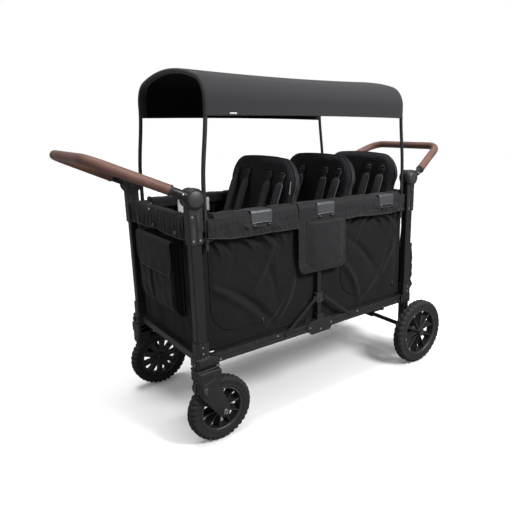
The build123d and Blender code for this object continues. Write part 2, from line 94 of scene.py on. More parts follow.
def fullTurn(count):
    return np.linspace(0, 2 * np.pi, count, endpoint=False)


def facing(profile, out, shift=0.0):
    # a turned profile moved along its axis and pointed to the left (-1) or right (1)
    return [(r, out * (h + shift)) for r, h in profile]


def linkMesh(name, mesh, material):
    piece = bpy.data.objects.new(name, mesh)
    bpy.context.scene.collection.objects.link(piece)
    if material:
        mesh.materials.append(finish[material])
    return piece


def gridPiece(name, points, material, closeU=False, closeV=False, capEnds=False, flip=False):
    # a surface given as points[u, v] becomes quads between neighbours; open ends may get a fan cap
    nu, nv = points.shape[:2]
    iu = np.arange(nu if closeU else nu - 1)
    iv = np.arange(nv if closeV else nv - 1)
    a, b = np.meshgrid(iu, iv, indexing="ij")
    a2, b2 = (a + 1) % nu, (b + 1) % nv
    quads = np.stack([a * nv + b, a2 * nv + b, a2 * nv + b2, a * nv + b2], -1).reshape(-1, 4)
    verts = points.reshape(-1, 3)
    faces = quads.tolist()
    if capEnds:
        first, last = len(verts), len(verts) + 1
        verts = np.vstack([verts, points[0].mean(0), points[-1].mean(0)])
        ring = np.arange(nv)
        faces += surface(np.full(nv, first), ring, (ring + 1) % nv).tolist()
        ring2 = ring + (nu - 1) * nv
        faces += surface(np.full(nv, last), (ring + 1) % nv + (nu - 1) * nv, ring2).tolist()
    mesh = bpy.data.meshes.new(name)
    mesh.from_pydata(verts.tolist(), [], faces)
    if not (closeU or closeV or capEnds):
        addUv(mesh, points)
    mesh.polygons.foreach_set("use_smooth", [True] * len(mesh.polygons))
    if flip:
        mesh.flip_normals()
    mesh.update()
    return linkMesh(name, mesh, material)


def addUv(mesh, points):
    # distances along the surface in metres, as a uv layer named cloth
    du = np.linalg.norm(np.diff(points, axis=0), axis=2).mean(1)
    dv = np.linalg.norm(np.diff(points, axis=1), axis=2).mean(0)
    u = np.concatenate([[0], np.cumsum(du)])
    v = np.concatenate([[0], np.cumsum(dv)])
    uv = np.stack(np.meshgrid(u, v, indexing="ij"), -1).reshape(-1, 2)
    layer = mesh.uv_layers.new(name="cloth")
    loops = np.zeros(len(mesh.loops), np.int32)
    mesh.loops.foreach_get("vertex_index", loops)
    layer.data.foreach_set("uv", uv[loops].astype(np.float32).ravel())


def rectangle(x0, x1, z0, z1, radius, steps):
    return roundedPath([(x0, z0), (x1, z0), (x1, z1), (x0, z1)], radius, steps=steps)


def outward(piece):
    # doubles merged and faces turned out, for closed shapes
    work = bmesh.new()
    work.from_mesh(piece.data)
    bmesh.ops.remove_doubles(work, verts=work.verts, dist=1e-6)
    bmesh.ops.recalc_face_normals(work, faces=work.faces)
    work.to_mesh(piece.data)
    work.free()
    return piece


def thicken(piece, wall, offset=0.0):
    mod = piece.modifiers.new("wall", "SOLIDIFY")
    mod.thickness = wall
    mod.offset = offset
    return piece


def soften(piece, width, segments=2, angle=40):
    mod = piece.modifiers.new("edge", "BEVEL")
    mod.width = width
    mod.segments = segments
    mod.limit_method = "ANGLE"
    mod.angle_limit = np.radians(angle)
    return piece


def applyAll(piece):
    graph = bpy.context.evaluated_depsgraph_get()
    mesh = bpy.data.meshes.new_from_object(piece.evaluated_get(graph))
    piece.modifiers.clear()
    piece.data = mesh
    return piece


def pathFrames(path, up):
    # tangent, side and normal along a path, with the side kept square to the up direction
    tangent = np.gradient(path, axis=0)
    tangent /= np.linalg.norm(tangent, axis=1)[:, None]
    up = np.broadcast_to(np.array(up, float), path.shape)
    side = np.cross(tangent, up)
    side /= np.maximum(np.linalg.norm(side, axis=1)[:, None], 1e-9)
    normal = np.cross(side, tangent)
    return tangent, side, normal


def transportFrames(path, closed=False):
    # frames that turn as little as they can along the path
    tangent = np.roll(path, -1, 0) - np.roll(path, 1, 0) if closed else np.gradient(path, axis=0)
    tangent /= np.linalg.norm(tangent, axis=1)[:, None]
    guess = np.array([0, 0, 1.0]) if abs(tangent[0][2]) < 0.9 else np.array([1.0, 0, 0])
    side = np.cross(tangent[0], guess)
    sides = [side / np.linalg.norm(side)]
    for t in tangent[1:]:
        s = sides[-1] - t * np.dot(sides[-1], t)
        sides.append(s / np.linalg.norm(s))
    side = np.array(sides)
    return tangent, side, np.cross(side, tangent)


def tube(name, path, radius, material, sides=10, closed=False):
    # a circle carried along a path; the radius may vary along it
    path = np.asarray(path, float)
    tangent, side, normal = transportFrames(path, closed)
    angle = fullTurn(sides)
    r = np.broadcast_to(np.asarray(radius, float), len(path))[:, None, None]
    ring = side[:, None] * np.cos(angle)[None, :, None] + normal[:, None] * np.sin(angle)[None, :, None]
    points = path[:, None] + r * ring
    piece = gridPiece(name, points, material, closeU=closed, closeV=True, capEnds=not closed)
    return outward(piece)


def ribbon(name, path, width, thick, up, material, power=4.0, sides=20):
    # a rounded flat section (superellipse of the given power) carried along a path
    path = np.asarray(path, float)
    tangent, side, normal = pathFrames(path, up)
    angle = fullTurn(sides)
    c, s = np.cos(angle), np.sin(angle)
    cx = np.sign(c) * np.abs(c) ** (2 / power)
    sx = np.sign(s) * np.abs(s) ** (2 / power)
    w = np.broadcast_to(np.asarray(width, float), len(path))[:, None, None] / 2
    t = np.broadcast_to(np.asarray(thick, float), len(path))[:, None, None] / 2
    points = path[:, None] + side[:, None] * w * cx[None, :, None] + normal[:, None] * t * sx[None, :, None]
    return outward(gridPiece(name, points, material, closeV=True, capEnds=True))


def turned(name, profile, centre, axis, material, segments=64, closed=True):
    # a profile of (radius, place along the axis) turned about that axis through the centre
    profile = np.asarray(profile, float)
    angle = fullTurn(segments)
    r, h = profile[:, 0][None], profile[:, 1][None]
    a = angle[:, None]
    flat = np.zeros((segments, len(profile), 3))
    one, two = [i for i in range(3) if i != axis]
    flat[..., one] = r * np.cos(a)
    flat[..., two] = r * np.sin(a)
    flat[..., axis] = h + 0 * a
    flat += np.asarray(centre, float)
    return outward(gridPiece(name, flat, material, closeU=True, closeV=closed))


def roundedPath(corners, radii, closed=True, steps=8):
    # straight runs with an arc at each corner; a radius of 0 keeps the corner
    corners = [np.asarray(c, float) for c in corners]
    count = len(corners)
    out = []
    for i, corner in enumerate(corners):
        if not closed and i in (0, count - 1):
            out.append(corner[None])
            continue
        before, after = corners[i - 1] - corner, corners[(i + 1) % count] - corner
        la, lb = np.linalg.norm(before), np.linalg.norm(after)
        before, after = before / la, after / lb
        half = np.arccos(np.clip(before @ after, -1, 1)) / 2
        r = radii[i] if hasattr(radii, "__len__") else radii
        if r <= 0:
            out.append(corner[None])
            continue
        cut = r / np.tan(half)
        mid = (before + after) / np.linalg.norm(before + after)
        centre = corner + mid * r / np.sin(half)
        a, b = corner + before * cut - centre, corner + after * cut - centre
        t = np.linspace(0, 1, steps)[:, None]
        sweep = np.arccos(np.clip(a @ b / (r * r), -1, 1))
        out.append(centre + (np.sin((1 - t) * sweep) * a + np.sin(t * sweep) * b) / np.sin(sweep))
    return np.vstack(out)


def evenly(path, count, closed=False):
    # the same line with its points spread evenly along it
    path = np.vstack([path, path[:1]]) if closed else path
    gone = np.concatenate([[0], np.cumsum(np.linalg.norm(np.diff(path, axis=0), axis=1))])
    spots = np.linspace(0, gone[-1], count + 1 if closed else count)
    out = np.stack([np.interp(spots, gone, path[:, k]) for k in range(path.shape[1])], -1)
    return out[:-1] if closed else out


def plate(name, outline, near, far, axis, edge, material="blackPlastic"):
    # an outline of two coordinates given a thickness along an axis, with its rim rounded over
    outline = evenly(np.asarray(outline, float), max(len(outline), 48), closed=True)
    step = np.roll(outline, -1, 0) - np.roll(outline, 1, 0)
    normal = np.stack([step[:, 1], -step[:, 0]], -1)
    normal /= np.linalg.norm(normal, axis=1)[:, None]
    if ((outline - outline.mean(0)) * normal).sum() < 0:
        normal = -normal
    sign = 1 if far > near else -1
    turn = np.linspace(0, np.pi / 2, 4)
    inset = np.concatenate([edge * (1 - np.sin(turn)), edge * (1 - np.cos(turn))])
    height = np.concatenate([near + sign * edge * (1 - np.cos(turn)), far - sign * edge * (1 - np.sin(turn))])
    one, two = [i for i in range(3) if i != axis]
    points = np.zeros((len(inset), len(outline), 3))
    flat = outline[None] - normal[None] * inset[:, None, None]
    points[..., one], points[..., two] = flat[..., 0], flat[..., 1]
    points[..., axis] = height[:, None]
    return outward(gridPiece(name, points, material, closeV=True, capEnds=True))


def joined(name, parts):
    # several pieces made into one object, each keeping its own material
    mesh = bpy.data.meshes.new(name)
    work = bmesh.new()
    mats = []
    for part in parts:
        applyAll(part)
        material = part.data.materials[0]
        if material not in mats:
            mats.append(material)
        part.data.polygons.foreach_set("material_index", [mats.index(material)] * len(part.data.polygons))
        work.from_mesh(part.data)
        bpy.data.objects.remove(part)
    work.to_mesh(mesh)
    work.free()
    piece = linkMesh(name, mesh, None)
    for material in mats:
        mesh.materials.append(material)
    return piece


def place(piece, body, slotName, *replaced):
    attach(piece, body)
    if replaced:
        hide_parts(*replaced)
    return piece


def onTub(name, parts, *replaced):
    return place(joined(name, parts), "frame", "tub_fabric", *replaced)


def onSeats(name, parts, *replaced):
    return place(joined(name, parts), "frame", "seat_fabric", *replaced)


# Finishes: every one is worked out from Object coordinates, in metres
def startFinish(name, roughness, metallic=0.0, specular=0.5, sheen=0.0):
    material = bpy.data.materials.new(name)
    material.use_nodes = True
    tree = material.node_tree
    shader = tree.nodes["Principled BSDF"]
    shader.inputs["Metallic"].default_value = metallic
    shader.inputs["Specular IOR Level"].default_value = specular
    shader.inputs["Sheen Weight"].default_value = sheen
    shader.inputs["Sheen Roughness"].default_value = 0.45
    shader.inputs["Roughness"].default_value = roughness
    coord = tree.nodes.new("ShaderNodeTexCoord")
    return material, tree, shader, coord.outputs["Object"]


def maths(tree, operation, a, b=None, c=None):
    node = tree.nodes.new("ShaderNodeMath")
    node.operation = operation
    for socket, value in zip(node.inputs, (a, b, c)):
        if value is None:
            continue
        if isinstance(value, (int, float)):
            socket.default_value = value
        else:
            tree.links.new(value, socket)
    return node.outputs[0]


def noise(tree, vector, scale, detail=3.0, roughness=0.55):
    node = tree.nodes.new("ShaderNodeTexNoise")
    node.inputs["Scale"].default_value = scale
    node.inputs["Detail"].default_value = detail
    node.inputs["Roughness"].default_value = roughness
    tree.links.new(vector, node.inputs["Vector"])
    return node.outputs["Fac"]


def cells(tree, vector, scale, feature="F1"):
    node = tree.nodes.new("ShaderNodeTexVoronoi")
    node.feature = feature
    node.inputs["Scale"].default_value = scale
    tree.links.new(vector, node.inputs["Vector"])
    return node.outputs["Distance"]


def spread(tree, value, low, high, toLow=0.0, toHigh=1.0):
    node = tree.nodes.new("ShaderNodeMapRange")
    for key, number in (("From Min", low), ("From Max", high), ("To Min", toLow), ("To Max", toHigh)):
        node.inputs[key].default_value = number
    tree.links.new(value, node.inputs["Value"])
    return node.outputs["Result"]


def colourBetween(tree, factor, one, two):
    node = tree.nodes.new("ShaderNodeMix")
    node.data_type = "RGBA"
    tree.links.new(factor, node.inputs["Factor"])
    for key, colour in (("A", one), ("B", two)):
        socket = [s for s in node.inputs if s.name == key and s.type == "RGBA"][0]
        if isinstance(colour, tuple):
            socket.default_value = (*colour, 1)
        else:
            tree.links.new(colour, socket)
    return [s for s in node.outputs if s.type == "RGBA"][0]


def relief(tree, shader, height, distance, strength=1.0):
    node = tree.nodes.new("ShaderNodeBump")
    node.inputs["Distance"].default_value = distance
    node.inputs["Strength"].default_value = strength
    tree.links.new(height, node.inputs["Height"])
    tree.links.new(node.outputs["Normal"], shader.inputs["Normal"])


def threads(tree, coord, pitch):
    # two crossed sets of ridges, from x + y and z + x - y, so every face shows a weave
    split = tree.nodes.new("ShaderNodeSeparateXYZ")
    tree.links.new(coord, split.inputs[0])
    x, y, z = split.outputs
    k = 2 * np.pi / pitch
    one = maths(tree, "SINE", maths(tree, "MULTIPLY", maths(tree, "ADD", x, y), k))
    two = maths(tree, "SINE", maths(tree, "MULTIPLY", maths(tree, "SUBTRACT", maths(tree, "ADD", z, x), y),
        k))
    return maths(tree, "MULTIPLY_ADD", maths(tree, "MULTIPLY", one, two), 0.5, 0.5)


def clothFinish(name, cloth):
    material, tree, shader, coord = startFinish(
        name, cloth["roughness"], specular=cloth["specular"], sheen=cloth["sheen"])
    weave = threads(tree, coord, cloth["pitch"])
    clouds = noise(tree, coord, cloth["clouds"], 4.0)
    fine = noise(tree, coord, 900.0, 2.0)
    tone = maths(tree, "MULTIPLY_ADD", weave, 0.35, maths(tree, "MULTIPLY", spread(tree, clouds, 0.3, 0.7),
        0.65))
    tree.links.new(colourBetween(tree, tone, cloth["dark"], cloth["light"]), shader.inputs["Base Color"])
    rough = spread(tree, clouds, 0.3, 0.7, cloth["roughness"] - 0.07, cloth["roughness"] + 0.07)
    tree.links.new(rough, shader.inputs["Roughness"])
    crinkle = noise(tree, coord, cloth["crinkleScale"], 5.0, 0.6)
    height = maths(tree, "MULTIPLY_ADD", crinkle, cloth["crinkle"],
        maths(tree, "MULTIPLY_ADD", weave, 0.25, fine))
    relief(tree, shader, height, cloth["depth"])
    return material


def leatherFinish(name, hide):
    material, tree, shader, coord = startFinish(name, hide["roughness"], specular=0.45)
    pebble = cells(tree, coord, hide["grain"])
    fine = noise(tree, coord, hide["grain"] * 1.7, 4.0)
    clouds = noise(tree, coord, hide["clouds"], 4.0)
    body = colourBetween(tree, spread(tree, clouds, 0.3, 0.7), hide["dark"], hide["light"])
    pores = spread(tree, pebble, 0.0, 0.55, 0.0, 1.0)
    worn = colourBetween(tree, pores, hide["pore"], body)
    tree.links.new(worn, shader.inputs["Base Color"])
    tree.links.new(spread(tree, fine, 0.3, 0.7, hide["roughness"] - 0.08, hide["roughness"] + 0.1),
        shader.inputs["Roughness"])
    relief(tree, shader, maths(tree, "MULTIPLY_ADD", pebble, 1.2, fine), hide["depth"], 0.8)
    return material


def hardFinish(name, coat):
    # painted metal, plastic or rubber: fine texture, dusty clouds and lighter worn edges
    material, tree, shader, coord = startFinish(
        name, coat["roughness"], metallic=coat.get("metallic", 0.0), specular=coat.get("specular", 0.5))
    grain = noise(tree, coord, coat["grain"], 4.0)
    clouds = noise(tree, coord, coat.get("clouds", 9.0), 4.0)
    base = colourBetween(tree, spread(tree, clouds, 0.3, 0.7), coat["dark"], coat["light"])
    geometry = tree.nodes.new("ShaderNodeNewGeometry")
    edges = spread(tree, geometry.outputs["Pointiness"], 0.54, 0.62)
    scuffs = maths(tree, "MULTIPLY", edges, spread(tree, noise(tree, coord, 60.0, 3.0), 0.35, 0.65))
    tree.links.new(colourBetween(tree, scuffs, base, coat["worn"]), shader.inputs["Base Color"])
    tree.links.new(spread(tree, grain, 0.3, 0.7, coat["roughness"] - 0.06, coat["roughness"] + 0.08),
        shader.inputs["Roughness"])
    relief(tree, shader, grain, coat["depth"], 0.6)
    return material


finishes = {
    "tubCloth": dict(dark=(0.0054, 0.0053, 0.0060), light=(0.0097, 0.0094, 0.0104), roughness=0.78,
        specular=0.16,
                     sheen=0.06, pitch=0.0011, clouds=7.0, crinkleScale=55.0, crinkle=1.6, depth=0.0006),
    "coverCloth": dict(dark=(0.0097, 0.0095, 0.0109), light=(0.0166, 0.0161, 0.0179), roughness=0.72,
        specular=0.20,
                       sheen=0.08, pitch=0.0011, clouds=9.0, crinkleScale=60.0, crinkle=1.5, depth=0.0006),
    "canopyCloth": dict(dark=(0.0229, 0.0218, 0.0241), light=(0.0285, 0.0274, 0.0300), roughness=0.86,
        specular=0.2,
                        sheen=0.10, pitch=0.0013, clouds=5.0, crinkleScale=35.0, crinkle=0.7, depth=0.0004),
    "liningAndSlotShadeCloth": dict(dark=(0.0022, 0.0022, 0.0024), light=(0.0036, 0.0036, 0.0038), roughness=0.88,
        specular=0.15,
                        sheen=0.0, pitch=0.0013, clouds=5.0, crinkleScale=35.0, crinkle=0.7, depth=0.0004),
    # seat and strap cloth are set several times lighter than the tub's black: painted light making up for the
    # light the canopy keeps off the seats and straps
    "seatClothPaintedLight": dict(dark=(0.0202, 0.0202, 0.0239), light=(0.0373, 0.0365, 0.0421), roughness=0.84,
        specular=0.12,
                      sheen=0.05, pitch=0.0012, clouds=8.0, crinkleScale=50.0, crinkle=1.0, depth=0.0006),
    "strapClothPaintedLight": dict(dark=(0.0434, 0.0434, 0.0490), light=(0.0770, 0.0749, 0.0838), roughness=0.80,
        specular=0.2,
                       sheen=0.06, pitch=0.0020, clouds=14.0, crinkleScale=80.0, crinkle=0.8, depth=0.0006),
    "pipingCloth": dict(dark=(0.0090, 0.0089, 0.0099), light=(0.0156, 0.0150, 0.0168), roughness=0.70,
        specular=0.4,
                        sheen=0.12, pitch=0.0009, clouds=20.0, crinkleScale=90.0, crinkle=0.6, depth=0.0004),
    "labelCloth": dict(dark=(0.465, 0.465, 0.480), light=(0.555, 0.555, 0.570), roughness=0.8, specular=0.3,
                       sheen=0.05, pitch=0.0008, clouds=30.0, crinkleScale=90.0, crinkle=0.5, depth=0.0003),
}
hides = {
    "gripLeather": dict(dark=(0.118, 0.0543, 0.0401), light=(0.177, 0.0850, 0.0590),
        pore=(0.052, 0.023, 0.016),
                        roughness=0.50, grain=520.0, clouds=16.0, depth=0.0005),
}
coats = {
    "frameMetal": dict(dark=(0.0090, 0.0086, 0.0094), light=(0.0107, 0.0102, 0.0111),
        worn=(0.036, 0.035, 0.036),
                       roughness=0.40, specular=0.32, grain=1400.0, depth=0.0002),
    "poleMetal": dict(dark=(0.0150, 0.0142, 0.0158), light=(0.0195, 0.0185, 0.0205),
        worn=(0.050, 0.048, 0.050),
                      roughness=0.38, specular=0.4, grain=1600.0, depth=0.0002),
    "blackPlastic": dict(dark=(0.0105, 0.0102, 0.0112), light=(0.0150, 0.0146, 0.0158),
        worn=(0.040, 0.039, 0.041),
                         roughness=0.46, specular=0.34, grain=1100.0, depth=0.0003),
    "capPlastic": dict(dark=(0.022, 0.0215, 0.023), light=(0.030, 0.029, 0.031), worn=(0.070, 0.069, 0.071),
                       roughness=0.44, specular=0.45, grain=1100.0, depth=0.0003),
    "clipPlastic": dict(dark=(0.0384, 0.0400, 0.0432), light=(0.0480, 0.0496, 0.0536),
        worn=(0.13, 0.135, 0.14),
                        roughness=0.42, specular=0.55, grain=900.0, depth=0.0003),
    "rimPlastic": dict(dark=(0.0084, 0.0082, 0.0090), light=(0.0132, 0.0128, 0.0138),
        worn=(0.050, 0.049, 0.051),
                       roughness=0.45, specular=0.5, grain=1100.0, depth=0.0003),
    "tyreRubber": dict(dark=(0.0105, 0.0100, 0.0107), light=(0.0160, 0.0154, 0.0163),
        worn=(0.045, 0.044, 0.046),
                       roughness=0.72, specular=0.35, grain=700.0, clouds=16.0, depth=0.0004),
    "rivetSteel": dict(dark=(0.260, 0.236, 0.211), light=(0.384, 0.353, 0.322), worn=(0.496, 0.471, 0.434),
                       roughness=0.32, metallic=1.0, grain=1500.0, depth=0.0001),
    "darkSteel": dict(dark=(0.10, 0.085, 0.070), light=(0.19, 0.165, 0.14), worn=(0.40, 0.36, 0.32),
                      roughness=0.38, metallic=1.0, grain=1500.0, depth=0.0001),
}
finish = {name: clothFinish(name, cloth) for name, cloth in finishes.items()}
finish.update({name: leatherFinish(name, hide) for name, hide in hides.items()})
finish.update({name: hardFinish(name, coat) for name, coat in coats.items()})
print("finishes made:", len(finish))

# The frame's own nodes get their coats, by how their names start
coatOf = {
    "frameMetal": ("corner_posts", "mid_posts", "bottom_rails", "braces", "low_cross_rails",
        "high_cross_rails",
                   "top_rails", "rear_legs", "rear_axle", "handle_tube"),
    "poleMetal": ("canopy_arch",),
    "blackPlastic": ("corner_joints", "handle_brackets", "mid_hinges", "slider_collars", "canopy_clamps",
                     "caster_fork", "swivel_pin", "brake_pedal", "clamp_lever", "release_button"),
    "clipPlastic": ("seat_clips",),
    "rimPlastic": ("front_rim", "rear_rim"),
    "tyreRubber": ("front_tyre", "rear_tyre"),
    "gripLeather": ("handle_grip",),
    "rivetSteel": ("rivets",),
    "tubCloth": ("floor_panel", "side_panels", "end_panels", "centre_pockets", "front_pocket", "rear_basket"),
    "coverCloth": ("rail_covers", "end_covers"),
    "strapClothPaintedLight": ("basket_straps", "harness_straps"),
    "canopyCloth": ("canopy_sheet",),
    "seatClothPaintedLight": ("seat_back", "seat_cushions"),
}
coated = [(nodeName, coat) for coat,
    starts in coatOf.items() for nodeName in nodes if nodeName.startswith(starts)]
for nodeName, coat in coated:
    mesh = nodes[nodeName].data
    mesh.materials.clear()
    mesh.materials.append(finish[coat])
print("coats laid on", len(coated), "frame nodes")


# Floor, light and camera
def makeStudio():
    studio = dict(floorHalf=14.0, skySeen=1.0, skyLow=0.12, skyHigh=0.84, sun=1.90, sunSize=24.0,
        floorGlow=0.05, floorSeen=0.87, floorBounce=0.25)
    floor = gridPiece("floor", np.stack(np.meshgrid(
        np.linspace(-1, 1, 9) * studio["floorHalf"], np.linspace(-1, 1, 9) * studio["floorHalf"],
        [0.0], indexing="ij"), -1)[:, :, 0], None)
    material, tree, shader, coord = startFinish("paleFloor", 0.8, specular=0.0)
    seen = tree.nodes.new("ShaderNodeLightPath").outputs["Is Camera Ray"]
    pale = [(v, v, v) for v in (studio["floorBounce"], studio["floorSeen"])]
    tree.links.new(colourBetween(tree, seen, *pale), shader.inputs["Base Color"])
    shader.inputs["Emission Color"].default_value = (1, 1, 1, 1)
    tree.links.new(spread(tree, seen, 0.0, 1.0, 0.0, studio["floorGlow"]), shader.inputs["Emission Strength"])
    floor.data.materials.append(material)
    floor.location.z = -0.0006
    world = bpy.data.worlds.new("studioSky")
    bpy.context.scene.world = world
    world.use_nodes = True
    tree = world.node_tree
    sky = tree.nodes["Background"]
    sky.inputs["Color"].default_value = (1, 1, 1, 1)
    seen = tree.nodes.new("ShaderNodeLightPath").outputs["Is Camera Ray"]
    split = tree.nodes.new("ShaderNodeSeparateXYZ")
    tree.links.new(tree.nodes.new("ShaderNodeTexCoord").outputs["Generated"], split.inputs[0])
    glow = spread(tree, split.outputs[2], 0.0, 1.0, studio["skyLow"], studio["skyHigh"])
    strength = maths(tree, "ADD", maths(tree, "MULTIPLY", seen, studio["skySeen"]),
        maths(tree, "MULTIPLY", maths(tree, "SUBTRACT", 1.0, seen), glow))
    tree.links.new(strength, sky.inputs["Strength"])
    sun = bpy.data.lights.new("softSun", "SUN")
    sun.energy, sun.angle = studio["sun"], np.radians(studio["sunSize"])
    lamps = (("softSun", sun, (-0.15, 0.30, 5.0)),
             ("keyLamp", areaLamp("keyLamp", 1.1, 125.0), (0.7, -2.6, 2.5)),
             ("rimLamp", areaLamp("rimLamp", 1.0, 4.0), (-2.8, -0.2, 2.2)))
    for name, lamp, spot in lamps:
        lampObject = bpy.data.objects.new(name, lamp)
        bpy.context.scene.collection.objects.link(lampObject)
        lampObject.location = spot
        aim = Vector((0, 0, 0.6)) - Vector(spot)
        lampObject.rotation_euler = aim.to_track_quat("-Z", "Y").to_euler()
    bpy.context.scene.view_settings.view_transform = "Standard"


def areaLamp(name, size, power):
    lamp = bpy.data.lights.new(name, "AREA")
    lamp.shape, lamp.size, lamp.energy = "DISK", size, power
    return lamp


def makeCamera():
    shot = dict(place=(-1.224, -1.7366, 1.0954), azimuth=39.58, elevation=-13.42, roll=0.15,
                lens=35.14, shift=(-0.1174, -0.0184))
    az, el = np.radians(shot["azimuth"]), np.radians(shot["elevation"])
    look = Vector((np.sin(az) * np.cos(el), np.cos(az) * np.cos(el), np.sin(el)))
    camera = bpy.data.objects.new("camera", bpy.data.cameras.new("camera"))
    bpy.context.scene.collection.objects.link(camera)
    camera.data.lens, camera.data.sensor_width = shot["lens"], 36.0
    camera.data.shift_x, camera.data.shift_y = shot["shift"]
    camera.location = shot["place"]
    turn = look.to_track_quat("-Z", "Y").to_matrix() @ Matrix.Rotation(np.radians(-shot["roll"]), 3, "Z")
    camera.rotation_euler = turn.to_euler()
    bpy.context.scene.camera = camera


makeStudio()
makeCamera()
print("studio and camera ready")


# Canopy: one curved sheet over two arches, with a sleeve round each arch
def archLine(half, spring, crown, corner, lower, count):
    # up one side, a corner arc, a wide crown arc, and down again, as (y, z) points evenly spread
    cornerY, rise = half - corner, crown - spring
    crownR = (cornerY**2 + rise**2 - corner**2) / (2 * (rise - corner))
    crownZ = spring + rise - crownR
    joint = np.arctan2(spring - crownZ, cornerY)
    low = np.linspace(lower, spring, 40)
    side = np.stack([np.full(40, half), low], -1)
    turn = np.linspace(0, joint, 60)[1:]
    arc = np.stack([cornerY + corner * np.cos(turn), spring + corner * np.sin(turn)], -1)
    over = np.linspace(joint, np.pi / 2, 80)[1:]
    top = np.stack([crownR * np.cos(over), crownZ + crownR * np.sin(over)], -1)
    right = np.vstack([side, arc, top])
    left = right[::-1][1:] * np.array([-1, 1])
    return evenly(np.vstack([right, left]), count)[::-1]


def canopyPiece():
    cover = dict(corner=0.0868, spring=1.180, across=150, along=120, crownSag=0.006, sideSag=0.010,
        hemLift=0.004, sleeve=0.034, wall=0.0014)
    low, high = cornersOf("canopy_sheet")
    line = archLine(high[1] - 0.001, cover["spring"], high[2] - 0.001, cover["corner"], low[2],
        cover["across"])
    step = np.gradient(line, axis=0)
    normal = np.stack([-step[:, 1], step[:, 0]], -1)
    normal /= np.linalg.norm(normal, axis=1)[:, None]
    normal *= np.sign((normal * (line - np.array([0, 1.1]))).sum(1))[:, None]
    reach, tubeR = high[0] - 0.002, 0.0082
    # across the front arch: a return inside, round the tube, then the main sheet
    back = np.stack([np.linspace(reach - cover["sleeve"], reach - tubeR, 6), np.full(6, -2.0 * tubeR)], -1)
    back[:3, 1] += np.array([0.0115, 0.008, 0.003])
    turn = np.linspace(-np.pi / 2, np.pi / 2, 9)[1:-1]
    lip = np.stack([reach - tubeR + tubeR * np.cos(turn), -tubeR + tubeR * np.sin(turn)], -1)
    main = reach - tubeR - (2 * (reach - tubeR)) * np.linspace(0, 1, cover["along"])
    flat = np.stack([main, np.zeros(len(main))], -1)
    section = np.vstack([back, lip, flat, (lip * [-1, 1])[::-1], (back * [-1, 1])[::-1]])
    x, off = section[:, 0][:, None], section[:, 1][:, None]
    middle = np.clip(1 - (x / (reach - cover["sleeve"])) ** 2, 0, 1)
    steep = np.abs(normal[:, 0])[None]
    sag = middle * (cover["crownSag"] * (1 - steep) + cover["sideSag"] * steep)
    sleeveEdge = bump(np.abs(x) - (reach - cover["sleeve"]), 0.0025) * (off > -0.001) * 0.0009
    t = np.linspace(-1, 1, len(line))[None]
    pull = ripple(x * 0.35, t * 0.5, 3, 0.4) * 0.0011 * np.clip(np.abs(t) * 1.5 - 0.4, 0, 1) * np.sqrt(middle)
    hem = bump(1 - np.abs(t), 0.012) * 0.0012
    move = off - sag - sleeveEdge + pull + hem
    points = np.zeros((len(section), len(line), 3))
    points[..., 0] = x
    points[..., 1] = line[:, 0] + normal[:, 0] * move
    points[..., 2] = line[:, 1] + normal[:, 1] * move
    lift = cover["hemLift"] * middle * np.clip((cover["spring"] - points[..., 2]) / 0.05, 0, 1)
    points[..., 2] += lift
    sheet = gridPiece("canopyCover", points, "canopyCloth", flip=True)
    sheet.data.materials.append(finish["liningAndSlotShadeCloth"])
    thicken(sheet, cover["wall"], -1.0)
    sheet.modifiers["wall"].material_offset = 1
    sheet.modifiers["wall"].material_offset_rim = 0
    place(sheet, "canopy", "canopy_fabric", "canopy_sheet")
    # row of stitches beside each sleeve, and the folded lower hems
    seams = []
    for s in (-1, 1):
        index = np.argmin(np.abs(section[:, 0] - s * (reach - cover["sleeve"] - 0.002)) + 10 * (section[:,
            1] < -0.001))
        seams.append(stitches("canopySeam", points[index], canopyNormals(normal), 0.006, "canopyCloth"))
    for column, s in ((3, 1), (len(line) - 4, -1)):
        edge = points[20:-20, column]
        seams.append(stitches("canopyHem", edge, np.array([0, normal[column, 0], 0]), 0.006, "canopyCloth"))
    place(joined("canopyStitching", seams), "canopy", "canopy_fabric")
    tag = dict(x=-0.364, z=1.1405, wide=0.026, tall=0.0055)
    u, v = np.meshgrid(np.linspace(-1, 1, 12), np.linspace(-1, 1, 4), indexing="ij")
    row = np.argmin(np.abs(points[20, :len(line) // 2, 2] - tag["z"]))
    where = np.argmin(np.abs(section[20:-20, 0] - tag["x"])) + 20
    face = points[where, len(line) - 1 - row] if points[where, row, 1] > 0 else points[where, row]
    label = surface(tag["x"] + u * tag["wide"] / 2, face[1] - 0.0016 + 0 * u,
        tag["z"] + v * tag["tall"] / 2)
    tagPiece = gridPiece("canopyLabel", label, "labelCloth")
    thicken(tagPiece, 0.0006)
    place(tagPiece, "canopy", "canopy_fabric")


def canopyNormals(normal):
    return surface(np.zeros(len(normal)), normal[:, 0], normal[:, 1])


